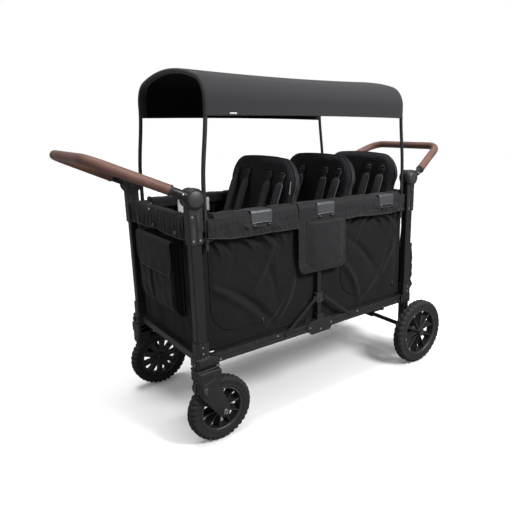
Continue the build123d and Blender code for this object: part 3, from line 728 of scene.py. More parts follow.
def stitches(name, path, normals, pitch=0.0045, material="pipingCloth", wide=0.0011, proud=0.0007):
    # short six-sided thread bars laid along a path, one every pitch
    path = np.asarray(path, float)
    normals = np.broadcast_to(normals, path.shape)
    gone = np.concatenate([[0], np.cumsum(np.linalg.norm(np.diff(path, axis=0), axis=1))])
    spots = np.arange(pitch * 0.5, gone[-1], pitch)

    def at(values, where):
        return np.stack([np.interp(where, gone, values[:, k]) for k in range(3)], -1)

    a, b = at(path, spots - pitch * 0.33), at(path, spots + pitch * 0.33)
    n = at(normals, spots)
    n /= np.linalg.norm(n, axis=1)[:, None]
    side = np.cross(b - a, n)
    side *= (wide / 2) / np.linalg.norm(side, axis=1)[:, None]
    middle, up = (a + b) / 2, n * proud
    verts = np.stack([a, middle + side, middle + up, middle - side, b, middle - 0.2 * up], 1).reshape(-1, 3)
    base = (np.arange(len(spots)) * 6)[:, None, None]
    faces = np.array([[0, 1, 2], [0, 2, 3], [4, 2, 1], [4, 3, 2], [0, 5, 1], [0, 3, 5], [4, 1, 5], [4, 5, 3]])
    mesh = bpy.data.meshes.new(name)
    mesh.from_pydata(verts.tolist(), [], (faces[None] + base).reshape(-1, 3).tolist())
    return outward(linkMesh(name, mesh, material))


canopyPiece()
print("canopy made")


# Tub: floor, side and end panels, padded rail covers, centre pockets, front bag and rear basket
def rounded(x, z, x0, x1, z0, z1, r):
    # signed distance to a rectangle with rounded corners, negative inside
    qx = np.abs(x - (x0 + x1) / 2) - (x1 - x0) / 2 + r
    qz = np.abs(z - (z0 + z1) / 2) - (z1 - z0) / 2 + r
    return np.hypot(np.maximum(qx, 0), np.maximum(qz, 0)) + np.minimum(np.maximum(qx, qz), 0) - r


sidePanel = dict(flapLow=0.393, flapTop=0.90, flapCorner=0.092, flapRise=0.0028, puff=0.0045,
    flaps=((-0.468, -0.040), (0.135, 0.60)), pipeEnds=(-0.262, 0.455), seam=0.694, wall=0.0022)


def panelRelief(x, z, seed):
    # how far the side cloth stands out: flaps, slack between the corners, folds, and a fine ripple
    rise = 0.0016 * ripple(x, z * 0.7, seed, 0.17) + 0.0006 * ripple(x, z, seed + 1, 0.045)
    for x0, x1 in sidePanel["flaps"]:
        inside = -rounded(x, z, x0, x1, sidePanel["flapLow"], sidePanel["flapTop"], sidePanel["flapCorner"])
        rise += sidePanel["flapRise"] * smoothStep(inside / 0.004)
        rise += sidePanel["puff"] * smoothStep(inside / 0.07)
    rng = np.random.default_rng(seed + 7)
    for x0, x1 in sidePanel["flaps"]:
        for k in range(9):
            spot = x0 + (x1 - x0) * rng.uniform(0.05, 0.95)
            tilt = rng.uniform(-50, 50) - 90
            rise += crease(x, z, spot, rng.uniform(0.50, 0.72), tilt, rng.uniform(0.05, 0.11),
                rng.uniform(0.006, 0.013), rng.uniform(-0.0055, 0.0055))
    for spot, tilt, depth in ((-0.445, -58, 0.006), (-0.41, -52, -0.005), (-0.335, -36, 0.007),
        (-0.295, -34, -0.006),
        (-0.255, -38, 0.0075), (-0.215, -44, -0.006), (-0.175, -60, 0.005), (-0.13, -80, 0.004),
        (0.155, -118, 0.006), (0.20, -140, -0.006), (0.25, -146, 0.0075), (0.30, -142, -0.006),
        (0.34, -38, 0.006), (0.39, -34, 0.0075), (0.43, -36, -0.006), (0.465, -50, 0.005)):
        rise += crease(x, z, spot, 0.716, tilt, 0.044, 0.0068, 2.3 * depth)
    for spot, height, tilt, depth in ((-0.40, 0.52, -35, 0.005), (-0.30, 0.47, -42, -0.006),
        (-0.24, 0.62, -118, 0.005),
        (-0.19, 0.44, -128, 0.006), (-0.13, 0.50, -110, 0.006), (0.19, 0.48, -60, 0.006),
        (0.26, 0.58, -44, -0.005), (0.34, 0.47, -125, 0.006), (0.42, 0.55, -116, 0.006)):
        rise += crease(x, z, spot, height, tilt, 0.13, 0.014, 2.1 * depth)
    rise += crease(x, z, -0.05, 0.40, 20, 0.05, 0.012, 0.004) + crease(x, z, 0.06, 0.40, -22, 0.05, 0.012,
        0.004)
    rise -= 0.0012 * bump(z - sidePanel["seam"], 0.0022) - 0.0012 * bump(z - sidePanel["seam"] + 0.005, 0.004)
    edge = np.minimum(np.minimum(z - 0.330, 0.776 - z), 0.476 - np.abs(x))
    return rise * smoothStep(edge / 0.025)


def flapLine(x0, x1, seed, s, face):
    # the piping round one flap: down its front edge, round the corner and along the bottom
    low, top, r = sidePanel["flapLow"], 0.690, sidePanel["flapCorner"]
    path = roundedPath([(x0, top), (x0, low), (x1, low)], [0, r, 0], closed=False, steps=16)
    path = evenly(path, 220)
    x, z = path[:, 0], path[:, 1]
    y = face + panelRelief(x, z, seed) + 0.0008
    return surface(x, s * y, z)


def sidePanels():
    low, high = cornersOf("side_panels")
    parts, pipes, threadsMade = [], [], []
    for s, seed in ((-1, 11), (1, 47)):
        u, v = np.meshgrid(np.linspace(-0.4995, 0.4995, 226), np.linspace(0, 1, 108), indexing="ij")
        foot = 0.3215 + 0.020 * smoothStep((np.abs(u) - 0.452) / 0.030)
        v = foot + (high[2] - foot) * v
        face = 0.2525
        y = face + panelRelief(u, v, seed)
        part = gridPiece("sidePanel", surface(u, s * y, v), "tubCloth", flip=s > 0)
        parts.append(thicken(part, sidePanel["wall"], -1.0))
        for (x0, _), x1 in zip(sidePanel["flaps"], sidePanel["pipeEnds"]):
            line = flapLine(x0, x1, seed, s, face)
            pipes.append(tube("flapPiping", line, 0.0026, "tubCloth", sides=7))
            pipes.append(tube("flapEnd", line[-1] + np.array([[0, 0, -0.012], [0.003, s * 0.002, 0],
                [0, 0, 0.012]]),
                0.0035, "blackPlastic", sides=8))
            inner = flapLine(x0 + 0.009, x1 - 0.008, seed, s, face + 0.0002)
            threadsMade.append(stitches("flapStitch", inner, np.array([0, s, 0])))
        hem = surface(np.linspace(-0.49, 0.49, 200), np.full(200, s * (face + 0.0012)),
            np.full(200, 0.3445))
        pipes.append(tube("lowPiping", hem, 0.0022, "tubCloth", sides=7))
    panels = onTub("sidePanels", parts, "side_panels")
    onTub("sidePiping", pipes)
    onTub("sideStitching", threadsMade)


clipCentres = (-0.272, 0.024, 0.365)


def underClips(x, z, amount):
    # the covers are pressed down where a seat clip straddles them
    press = sum(smoothStep((0.052 - np.abs(x - c)) / 0.010) for c in clipCentres)
    return z - amount * press * smoothStep((z - 0.785) / 0.025)


def roll(name, ends, inner, outer, low, top, axis, s, seed, gather, material):
    # a padded sleeve: a rounded section carried along the rail, rounded over at its ends
    section = roundedPath([(inner, low), (inner, top), (outer, top), (outer, low)],
        [0.007, 0.017, 0.021, 0.006], steps=9)
    section = evenly(section, 60, closed=True)
    centre = np.array([(inner + outer) / 2, (low + top) / 2])
    along = np.linspace(ends[0], ends[1], max(24, int(abs(ends[1] - ends[0]) / 0.003)))
    gap = np.minimum(np.abs(along - ends[0]), np.abs(along - ends[1]))
    shrink = dome(gap / 0.007) * 0.10 + 0.90
    offset = section - centre
    length = np.linalg.norm(offset, axis=1)
    a = np.arctan2(offset[:, 1], offset[:, 0])[None]
    t = along[:, None]
    swell = 0.0011 * ripple(t, a * 0.02, seed, 0.05) + 0.0016 * ripple(t, a * 0.03, seed + 1, 0.13)
    swell += gather * np.sin(2 * np.pi * (t + 0.004 * ripple(t, a * 0.01, seed + 2, 0.09)) / 0.021)
    swell -= 0.0018
    scale = shrink[:, None] * (1 + swell / length[None])
    flat = centre + offset[None] * scale[..., None]
    points = np.zeros(scale.shape + (3,))
    points[..., 1 - axis] = s * flat[..., 0]
    points[..., axis] = t
    points[..., 2] = flat[..., 1]
    if axis == 0:
        points[..., 2] = underClips(t, points[..., 2], 0.0105)
    return outward(gridPiece(name, points, material, closeV=True, capEnds=True)), points


skirtDepth = dict(x=(-0.50, -0.483, -0.401, -0.331, -0.287, -0.160, -0.10, 0.13, 0.20, 0.30, 0.40, 0.47,
    0.50),
    z=(0.746, 0.744, 0.732, 0.730, 0.731, 0.731, 0.731, 0.738, 0.741, 0.735, 0.733, 0.742, 0.746),
    tongues=((-0.348, -0.250), (0.300, 0.396)), tongueRise=0.0055)


def skirt(x0, x1, s, seed):
    # the outer cloth below the roll: leans out a little, waves more toward its free edge
    x = np.linspace(x0, x1, int((x1 - x0) / 0.0026))[:, None]
    v = np.linspace(0, 1, 26)[None]
    bottom = np.interp(x, skirtDepth["x"], skirtDepth["z"])
    z = 0.806 + (bottom - 0.806) * v
    y = 0.2842 + 0.0022 * smoothStep(v * 3) + 0.0020 * v * ripple(x, z, seed, 0.06) \
        + 0.0012 * np.sqrt(v) * ripple(x, z, seed + 3, 0.022)
    for spot in (-0.268, 0.365):
        for k in range(-2, 3):
            y = y + crease(x, z, spot + 0.034 * k, 0.750, -90 + 17 * k, 0.034, 0.0080, 0.0036 * (-1) ** k)
        y = y + 0.0050 * bump(x - spot - 0.034, 0.020) * bump(z - 0.752, 0.012)
    for t0, t1 in skirtDepth["tongues"]:
        lobe = smoothStep(-rounded(x, z, t0, t1, 0.7515, 0.84, 0.024) / 0.0045)
        y = y + skirtDepth["tongueRise"] * lobe * smoothStep((0.774 - z) / 0.008)
    under = sum(smoothStep((0.050 - np.abs(x - c)) / 0.008) for c in clipCentres)
    under = under * smoothStep((z - 0.762) / 0.008)
    y = y - np.maximum(y - 0.2846, 0) * under
    points = surface(x, s * y, z)
    cloth = gridPiece("skirt", points, "coverCloth", flip=s < 0)
    return thicken(cloth, 0.002, 0.0), points


def railCovers():
    rolls, skirts, pipes, seams = [], [], [], []
    for s, seed in ((-1, 21), (1, 61)):
        for x0, x1 in ((-0.457, -0.110), (0.128, 0.457)):
            part, grid = roll("roll", (x0, x1), 0.2285, 0.2855, 0.7775, 0.8215, 0, s, seed + int(x1 > 0),
                0.0003,
                "coverCloth")
            rolls.append(part)
            outerEnd = 0 if x0 < -0.2 else -1
            ring = grid[outerEnd] + np.array([0.004 if outerEnd == 0 else -0.004, 0, 0])
            middle = ring.mean(0)
            ring = middle + (ring - middle) * 1.07
            rolls.append(tube("rollEnd", ring, 0.0036, "coverCloth", sides=10, closed=True))
            for inset in (0.016, 0.0185):
                loop = evenly(grid[int(inset / 0.003) if outerEnd == 0 else -int(inset / 0.003)], 80,
                    closed=True)
                centre = loop.mean(0)
                seams.append(stitches("rollSeam", loop, loop - centre))
            wide = (x0 - 0.024, x1) if x0 < -0.2 else (x0, x1 + 0.024)
            cloth, points = skirt(wide[0], wide[1], s, seed + 5)
            skirts.append(cloth)
            pipes.append(tube("skirtPiping", evenly(points[:, -1], 150), 0.0024, "pipingCloth", sides=8))
            seams.append(stitches("skirtSeam", points[:, -4] + [0, s * 0.0012, 0], np.array([0, s, 0])))
    covers = onTub("railCovers", rolls, "rail_covers")
    hung = onTub("railSkirts", skirts)
    onTub("skirtPiping", pipes)
    onTub("coverStitching", seams)


def endCovers():
    rolls, skirts, pipes = [], [], []
    for s, seed in ((-1, 31), (1, 71)):
        part, grid = roll("endRoll", (-0.226, 0.226), 0.5055, 0.5405, 0.7775, 0.8215, 1, s, seed, 0.0007,
            "tubCloth")
        rolls.append(part)
        y = np.linspace(-0.236, 0.236, 220)[:, None]
        v = np.linspace(0, 1, 26)[None]
        z = 0.806 + (0.739 + 0.004 * ripple(y, 0 * y, seed, 0.3) - 0.806) * v
        out = 0.5395 + 0.002 * smoothStep(v * 3) + 0.0013 * np.sqrt(v) * np.sin(
            2 * np.pi * (y + 0.012 * ripple(y, 0.3 * z, seed + 1, 0.12)) / 0.031) + 0.0026 * v * ripple(y,
                z, seed + 2, 0.08)
        points = surface(s * out, y, z)
        skirts.append(thicken(gridPiece("endSkirt", points, "tubCloth", flip=s > 0), 0.002))
        pipes.append(tube("endPiping", evenly(points[:, -1], 150), 0.0024, "pipingCloth", sides=8))
        pipes.append(stitches("endSeam", points[:, -4] + [s * 0.0012, 0, 0], np.array([s, 0, 0])))
    covers = onTub("endCovers", rolls, "end_covers")
    hung = onTub("endSkirts", skirts)
    onTub("endCoverPiping", pipes)
    snaps = []
    for y, z in ((0.018, 0.752), (0.046, 0.806), (-0.17, 0.752)):
        snaps.append(turned("snap", [(0.0, 0.0030), (0.003, 0.0028), (0.0055, 0.0018), (0.0065, 0.0),
            (0.0, -0.001)],
            (0, 0, 0), 0, "darkSteel", segments=16, closed=False))
        mesh = snaps[-1].data
        co = np.zeros(len(mesh.vertices) * 3, np.float32)
        mesh.vertices.foreach_get("co", co)
        co = co.reshape(-1, 3) * [-1, 1, 1] + [-0.5436, y, z]
        mesh.vertices.foreach_set("co", co.astype(np.float32).ravel())
        outward(snaps[-1])
    place(joined("frontSnaps", snaps), "frame", "rivet_steel")


def endPanels():
    low, high = cornersOf("end_panels")
    parts, pipes = [], []
    for s, seed in ((-1, 81), (1, 91)):
        y, z = np.meshgrid(np.linspace(low[1], high[1], 120), np.linspace(0, 1, 100), indexing="ij")
        lift = smoothStep((np.abs(y) - 0.198) / 0.012) + smoothStep((0.030 - np.abs(y + 0.075)) / 0.01)
        z = 0.3185 + 0.0125 * lift + (high[2] - 0.3185 - 0.0125 * lift) * z
        slack = 0.0022 * ripple(y, z * 0.6, seed, 0.16) + 0.0008 * ripple(y, z, seed + 1, 0.05)
        for spot, tilt in ((-0.2, -70), (-0.17, -100), (0.18, -76), (0.21, -104), (0.0, -60)):
            slack += crease(y, z, spot, 0.62, tilt, 0.10, 0.010, 0.003)
        edge = np.minimum(np.minimum(z - 0.333, high[2] - z), high[1] - np.abs(y))
        x = s * (0.5095 + slack * smoothStep(edge / 0.03))
        part = gridPiece("endPanel", surface(x, y, z), "tubCloth", flip=s < 0)
        parts.append(thicken(part, 0.0022))
        for side in (-1, 1):
            line = surface(np.full(80, s * 0.5112), np.full(80, side * 0.238),
                np.linspace(0.338, 0.772, 80))
            pipes.append(tube("endPipe", line, 0.0021, "pipingCloth", sides=7))
    panels = onTub("endPanels", parts, "end_panels")
    onTub("endPanelPiping", pipes)


def floorPiece():
    # a stiffened floor: shallow pillows between rows of quilting
    low, high = cornersOf("floor_panel")
    pads = dict(rows=6, columns=3, rise=0.0016)
    x, y = np.meshgrid(np.linspace(low[0], high[0], 150), np.linspace(low[1], high[1], 80), indexing="ij")
    u = (x - low[0]) / (high[0] - low[0]) * pads["rows"]
    v = (y - low[1]) / (high[1] - low[1]) * pads["columns"]
    pillow = (np.abs(np.sin(np.pi * u)) * np.abs(np.sin(np.pi * v))) ** 0.4
    top = high[2] - pads["rise"] * (1 - pillow) + 0.0003 * ripple(x, y, 5, 0.06)
    under = low[2] + 0.0003 + 0 * x
    part = closedPair("tubFloor", surface(x, y, top), surface(x, y, under), "tubCloth")
    place(part, "frame", "tub_fabric", "floor_panel")


def closedPair(name, front, back, material):
    # two grids with the same edge run joined round their rim into one closed shell
    nu, nv = front.shape[:2]
    a, b = np.meshgrid(np.arange(nu - 1), np.arange(nv - 1), indexing="ij")
    one = np.stack([a * nv + b, (a + 1) * nv + b, (a + 1) * nv + b + 1, a * nv + b + 1], -1).reshape(-1, 4)
    two = one[:, ::-1] + nu * nv
    rim = np.concatenate([np.arange(nv), np.arange(1, nu) * nv + nv - 1,
        (nu - 1) * nv + np.arange(nv - 2, -1, -1),
        np.arange(nu - 2, 0, -1) * nv])
    after = np.roll(rim, -1)
    band = np.stack([rim, after, after + nu * nv, rim + nu * nv], -1)
    mesh = bpy.data.meshes.new(name)
    mesh.from_pydata(np.vstack([front.reshape(-1, 3), back.reshape(-1, 3)]).tolist(), [],
        np.vstack([one, two, band]).tolist())
    mesh.polygons.foreach_set("use_smooth", [True] * len(mesh.polygons))
    return outward(linkMesh(name, mesh, material))


def centrePockets():
    # a cover over the rail that hangs down outside, and a flat pocket on it with rounded lower corners
    shape = dict(x0=-0.108, x1=0.126, foot=0.5475, corner=0.030, wall=0.0035)
    pouch = dict(x0=-0.066, x1=0.118, top=0.765, foot=0.556, corner=0.028, deep=0.0125, lip=0.745)
    covers, pouches, pipes, seams = [], [], [], []
    over = roundedPath([(0.2235, 0.779), (0.2235, 0.8165), (0.2853, 0.8165), (0.2853, shape["foot"])],
        [0, 0.015, 0.019, 0], closed=False, steps=10)
    over = evenly(over, 150)
    for s, seed in ((-1, 101), (1, 131)):
        u = np.linspace(-1, 1, 120)[:, None]
        half, mid = (shape["x1"] - shape["x0"]) / 2, (shape["x0"] + shape["x1"]) / 2
        narrow = half - cornerCut(shape["corner"], over[:, 1] - shape["foot"]) * (over[:, 0] > 0.28)
        x = mid + u * narrow[None]
        z = over[None, :, 1] + 0 * u
        hang = (over[:, 0] > 0.28)[None] * smoothStep((0.80 - z) / 0.04)
        y = over[None, :, 0] + hang * (0.0012 * ripple(x, z, seed, 0.11) + 0.0005 * ripple(x, z, seed + 1,
            0.03))
        slit = bump(x + 0.072, 0.0028) * smoothStep((z - 0.580) / 0.006) * smoothStep((0.760 - z) / 0.006)
        y = y - hang * 0.0030 * slit
        strip = smoothStep((x + 0.104) / 0.002) * smoothStep((-0.076 - x) / 0.002)
        strip = strip * smoothStep((z - 0.580) / 0.004) * smoothStep((0.760 - z) / 0.004) * hang
        net = np.sin(np.pi * (x + z) / 0.0042) ** 2 * np.sin(np.pi * (x - z) / 0.0042) ** 2
        y = y - strip * (0.0006 + 0.0006 * net)
        z = underClips(x, z, 0.0060)
        points = surface(x, s * y, z)
        covers.append(thicken(gridPiece("centreCover", points, "coverCloth", flip=s > 0), shape["wall"],
            -1.0))
        edge = np.vstack([points[0, 60:], points[1:-1, -1], points[-1, ::-1][:90]]) + [0, s * 0.0006, 0]
        pipes.append(tube("centrePiping", evenly(edge, 260), 0.0024, "pipingCloth", sides=8))
        # the pocket's outer face
        v = np.linspace(0, 1, 90)[None]
        z = pouch["top"] + (pouch["foot"] - pouch["top"]) * v + 0 * u
        narrow = (pouch["x1"] - pouch["x0"]) / 2 - cornerCut(pouch["corner"], z - pouch["foot"])
        x = (pouch["x0"] + pouch["x1"]) / 2 + u * narrow
        full = (1 - np.abs(u) ** 5) * smoothStep((z - pouch["foot"]) / 0.024)
        bulge = 0.0032 + (pouch["deep"] - 0.0032) * smoothStep((pouch["lip"] + 0.004 - z) / 0.010)
        y = 0.2858 + full * (bulge + 0.0012 * ripple(x, z, seed + 4, 0.09) + 0.0004 * ripple(x, z, seed + 5,
            0.03))
        y = y - full * 0.0022 * bump(z - pouch["lip"], 0.0016)
        bag = gridPiece("centrePouch", surface(x, s * y, z), "coverCloth", flip=s < 0)
        pouches.append(thicken(bag, 0.0016, 0.0))
        for level in (pouch["lip"] - 0.006, pouch["top"] - 0.004):
            row = np.argmin(np.abs(z[0] - level))
            seams.append(stitches("pouchSeam", surface(x[6:-6, row], s * (y[6:-6, row] + 0.0009),
                z[6:-6, row]),
                np.array([0, s, 0])))
        column = surface(x[4], s * (y[4] + 0.001), z[4])
        seams.append(stitches("pouchEdge", column, np.array([0, s, 0])))
    whole = onTub("centreCovers", covers, "centre_pockets")
    bags = onTub("centrePouches", pouches)
    onTub("centrePipings", pipes)
    onTub("centreStitching", seams)


sidePanels()
railCovers()
endCovers()
endPanels()
floorPiece()
centrePockets()
print("tub made")


# Front bag with its flap
def frontPocket():
    bag = dict(half=0.150, top=0.712, foot=0.441, wall=0.0018, deep=0.0435, corner=0.045)
    fold = np.array([(0.0, 0.150), (0.010, 0.1525), (0.014, 0.1440), (0.024, 0.1515), (0.028, 0.1430),
        (0.037, 0.1495),
        (0.0435, 0.1415), (0.0445, 0.130)])
    gone = np.linspace(0, 1, len(fold))
    soft = np.stack([np.interp(np.linspace(0, 1, 70), gone, fold[:, k]) for k in (0, 1)], -1)
    kernel = np.hanning(9) / np.hanning(9).sum()
    soft = np.stack([np.convolve(np.pad(soft[:, k], 4, mode="edge"), kernel, "valid") for k in (0, 1)], -1)
    front = np.stack([np.full(80, soft[-1, 0]), np.linspace(soft[-1, 1], -soft[-1, 1], 82)[1:-1]], -1)
    section = np.vstack([soft, front, soft[::-1] * [1, -1]])
    out, y = section[:, 0][:, None], section[:, 1][:, None]
    v = np.linspace(0, 1, 110)[None]
    z = bag["top"] - (bag["top"] - bag["foot"]) * v
    fall = np.clip(1 - (z - bag["foot"]) / bag["corner"], 0, 1)
    roundness = np.sqrt(np.clip(1 - fall ** 2, 0, 1))
    full = (0.12 + 0.88 * roundness) * (0.86 + 0.14 * np.sin(np.pi * np.clip(v, 0, 0.9)))
    narrow = 1 - 0.06 * fall ** 2 + 0.012 * np.sin(np.pi * v)
    centreX = 0.512
    pleat = 0.010 + 0.018 * np.sin((0.72 - z) * 11.0)
    face = smoothStep((out - 0.040) / 0.004)
    dent = crease(y, z, 0.02, 0.55, -84, 0.09, 0.006, 1.0)
    x = centreX + out * full + face * (-0.0045 * bump(y - pleat, 0.0045) * smoothStep((0.62 - z) / 0.05)
        * smoothStep((z - 0.50) / 0.05) + 0.004 * bump(y - pleat - 0.016, 0.012)
        * smoothStep((0.64 - z) / 0.05) + 0.0016 * ripple(y, z, 151, 0.10)
        + 0.0005 * ripple(y, z, 152, 0.03) - 0.001 * dent)
    y = y * narrow + (1 - face) * 0.0012 * ripple(out * 0.5, z, 153, 0.09)
    points = surface(-x, y, z)
    cloth = thicken(gridPiece("frontBag", points, "tubCloth"), bag["wall"])
    back = surface(-centreX - 0.0004, np.linspace(-0.149, 0.149, 40)[:, None],
        np.linspace(0.444, 0.711, 40)[None])
    behind = thicken(gridPiece("bagBack", back, "tubCloth"), 0.0012)
    whole = onTub("frontBag", [cloth, behind], "front_pocket")
    pipes = []
    for k in (62, len(section) - 63):
        edge = points[k, 3:-2] + [-0.0014, 0, 0]
        pipes.append(tube("bagPiping", evenly(edge, 110), 0.0019, "pipingCloth", sides=7))
    for k in (8, len(section) - 9):
        pipes.append(tube("bagPiping", evenly(points[k, 3:-2], 110), 0.0017, "pipingCloth", sides=7))
    hem = points[66:-66, 4] + [-0.0012, 0, 0]
    pipes.append(stitches("bagHem", hem, np.array([-1, 0, 0])))
    onTub("frontBagPiping", pipes)


def frontFlap():
    flap = dict(half=0.1535, foot=0.593, corner=0.046, wall=0.0026)
    line = roundedPath([(0.5462, 0.7168), (0.5590, 0.7168), (0.5586, flap["foot"])], [0, 0.010, 0],
        closed=False, steps=10)
    line = evenly(line, 90)
    u = np.linspace(-1, 1, 110)[:, None]
    half = flap["half"] - cornerCut(flap["corner"], line[:, 1] - flap["foot"])
    y = u * half[None]
    z = line[None, :, 1] + 0 * u
    hang = smoothStep((0.705 - z) / 0.02)
    x = line[None, :, 0] + hang * (0.0010 * ripple(y, z, 161, 0.12) + 0.0018 * (1 - u ** 2))
    x = x - hang * 0.0009 * bump(np.minimum(half[None] - np.abs(y), z - flap["foot"]) - 0.008, 0.0022)
    points = surface(-x, y, z)
    piece = thicken(gridPiece("frontFlap", points, "tubCloth"), flap["wall"])
    applyAll(piece)
    soften(piece, 0.0008, 2, 50)
    place(piece, "pocket_flap", "tub_fabric", "front_pocket_flap")
    edge = np.vstack([points[0, 22:], points[1:-1, -1], points[-1, ::-1][:-22]])
    trims = [tube("flapBinding", evenly(edge, 240) + [-0.0004, 0, 0], 0.0020, "pipingCloth", sides=8)]
    inset = np.vstack([points[5, 24:-5], points[6:-6, -6], points[-6, ::-1][5:-24]]) + [-0.0016, 0, 0]
    trims.append(stitches("flapStitch", inset, np.array([-1, 0, 0])))
    place(joined("frontFlapBinding", trims), "pocket_flap", "tub_fabric")


# Rear basket on two straps
def rearBasket():
    sack = dict(half=0.236, top=0.549, foot=0.290, deep=0.089, wall=0.0020, corner=0.030)
    corners = [(0.5475, -sack["half"]), (0.5475 + sack["deep"], -sack["half"]),
               (0.5475 + sack["deep"], sack["half"]), (0.5475, sack["half"])]
    section = evenly(roundedPath(corners, [0, sack["corner"], sack["corner"], 0], closed=False, steps=14),
        210)
    x, y = section[:, 0][:, None], section[:, 1][:, None]
    v = np.linspace(0, 1, 110)[None]
    z = sack["top"] - (sack["top"] - sack["foot"]) * v
    fall = np.clip(1 - (z - sack["foot"]) / 0.055, 0, 1)
    full = np.sqrt(np.clip(1 - fall ** 2, 0, 1)) * 0.94 + 0.06
    full = full * (0.90 + 0.10 * smoothStep((0.545 - z) / 0.06))
    outer = smoothStep((x - 0.56) / 0.05)
    wrinkle = 0.0028 * ripple(y * 0.5, z * 1.4, 171, 0.075) + 0.0010 * ripple(y, z, 172, 0.028)
    wrinkle += 0.0030 * np.sin(2 * np.pi * (z + 0.01 * ripple(y, z, 173,
        0.1)) / 0.048) * smoothStep((0.43 - z) / 0.05)
    seam = 0.0016 * bump(z - 0.530, 0.002) + 0.0016 * bump(z - 0.455, 0.002)
    px = 0.5475 + (x - 0.5475) * full + outer * (wrinkle - seam - 0.001)
    py = y * (1 - 0.05 * fall ** 2) + np.sign(y) * (1 - outer) * 0.5 * (wrinkle - 0.002) \
        * smoothStep((np.abs(y) - 0.2) / 0.02)
    points = surface(px, py, z - 0.004 * np.cos(np.pi * y / 0.24) * (1 - v))
    bag = thicken(gridPiece("basketSack", points, "tubCloth", flip=True), sack["wall"])
    back = surface(0.5470, np.linspace(-0.235, 0.235, 40)[:, None],
        np.linspace(0.293, 0.546, 24)[None]).copy()
    back[..., 0] += 0.0012 * ripple(back[..., 1], back[..., 2], 175, 0.1)
    behind = thicken(gridPiece("basketBack", back, "tubCloth"), 0.0018)
    whole = onTub("rearBasket", [bag, behind], "rear_basket")
    trims = []
    for row, r in ((1, 0.0030), (-2, 0.0022)):
        trims.append(tube("basketBinding", evenly(points[:, row], 240), r, "pipingCloth", sides=8))
    for level in (0.536, 0.461):
        row = int(np.argmin(np.abs(z[0] - level)))
        trims.append(stitches("basketSeam", points[34:-34, row] + [0.0014, 0, 0], np.array([1, 0, 0])))
    onTub("basketTrim", trims)
    straps, rings = [], []
    for side in (-0.215, 0.215):
        path = [(0.5475, 0.7335), (0.5500, 0.7200), (0.5640, 0.6850), (0.5670, 0.6300), (0.5600, 0.5700),
                (0.5495, 0.5350)]
        path = evenly(roundedPath([(a, side, b) for a, b in path], [0, 0.006, 0.06, 0.2, 0.06, 0], False,
            10), 60)
        straps.append(ribbon("basketStrap", path, 0.025, 0.0026, (1, 0, 0), "strapClothPaintedLight", sides=16))
        loop = path[:22] + [0.0040, 0, 0]
        straps.append(ribbon("strapTail", loop, 0.025, 0.0022, (1, 0, 0), "strapClothPaintedLight", sides=16))
        for k in (-1, 1):
            straps.append(stitches("strapEdge", path + [0.0016, k * 0.0105, 0], np.array([1, 0, 0]), 0.004,
                "pipingCloth"))
        ring = roundedPath([(0.5525, side - 0.016, 0.738), (0.5525, side + 0.016, 0.738),
            (0.5525, side + 0.016, 0.7240), (0.5525, side - 0.016, 0.7240)], 0.004, True, 6)
        rings.append(tube("strapRing", ring, 0.0018, "rivetSteel", sides=8, closed=True))
    place(joined("basketStraps", straps), "frame", "webbing", "basket_straps")
    place(joined("strapRings", rings), "frame", "rivet_steel")


frontPocket()
frontFlap()
rearBasket()
print("bags made")


# Seats: padded backs that lean back, cushions in front of them, and four harness straps each
seat = dict(centres=(-0.084, 0.209, 0.473), lean=8.0, foot=0.533, top=0.988, half=0.2285, thick=0.037,
            corner=0.118, crownRise=0.006, voxel=0.0055, pressure=4.0, flare=0.008, fuller=0.004,
            thinner=0.0095, pipeGap=0.0075, backCap=0.006, cushionCap=0.007)
cushion = dict(deep=0.166, half=0.2165, low=0.514, high=0.556)
lean = np.radians(seat["lean"])


def inflate(piece, cap):
    # the closed pad is remeshed, blown up as cloth for twenty frames, and its movement capped
    mesh = piece.modifiers.new("remesh", "REMESH")
    mesh.mode, mesh.voxel_size, mesh.use_smooth_shade = "VOXEL", seat["voxel"], True
    applyAll(piece)
    count = len(piece.data.vertices)
    before = np.zeros(count * 3, np.float32)
    piece.data.vertices.foreach_get("co", before)
    cloth = piece.modifiers.new("cloth", "CLOTH")
    cloth.settings.use_pressure = True
    cloth.settings.uniform_pressure_force = seat["pressure"]
    cloth.settings.effector_weights.gravity = 0
    cloth.settings.quality = 4
    cloth.settings.tension_stiffness = 25
    cloth.settings.bending_stiffness = 0.3
    cloth.point_cache.frame_start, cloth.point_cache.frame_end = 1, 20
    for step in range(1, 21):
        bpy.context.scene.frame_set(step)
    graph = bpy.context.evaluated_depsgraph_get()
    blown = piece.evaluated_get(graph).to_mesh()
    after = np.zeros(count * 3, np.float32)
    blown.vertices.foreach_get("co", after)
    piece.evaluated_get(graph).to_mesh_clear()
    piece.modifiers.clear()
    bpy.context.scene.frame_set(1)
    before, move = before.reshape(-1, 3), (after - before).reshape(-1, 3)
    far = np.linalg.norm(move, axis=1)[:, None]
    move *= np.minimum(1, cap / np.maximum(far, 1e-9))
    piece.data.vertices.foreach_set("co", (before + move).ravel())
    piece.data.update()
    even = piece.modifiers.new("even", "SMOOTH")
    even.factor, even.iterations = 0.5, 3
    return applyAll(piece)


def backOutline(v, half, corner):
    # half width of the back at height share v: rounded lower corners, large upper ones, gently bowed sides
    tall = (seat["top"] - seat["foot"]) / np.cos(lean)
    width = half - cornerCut(corner, (1 - v) * tall) * 0.93
    return width - cornerCut(0.03, v * tall) - 0.006 * (1 - v) ** 2


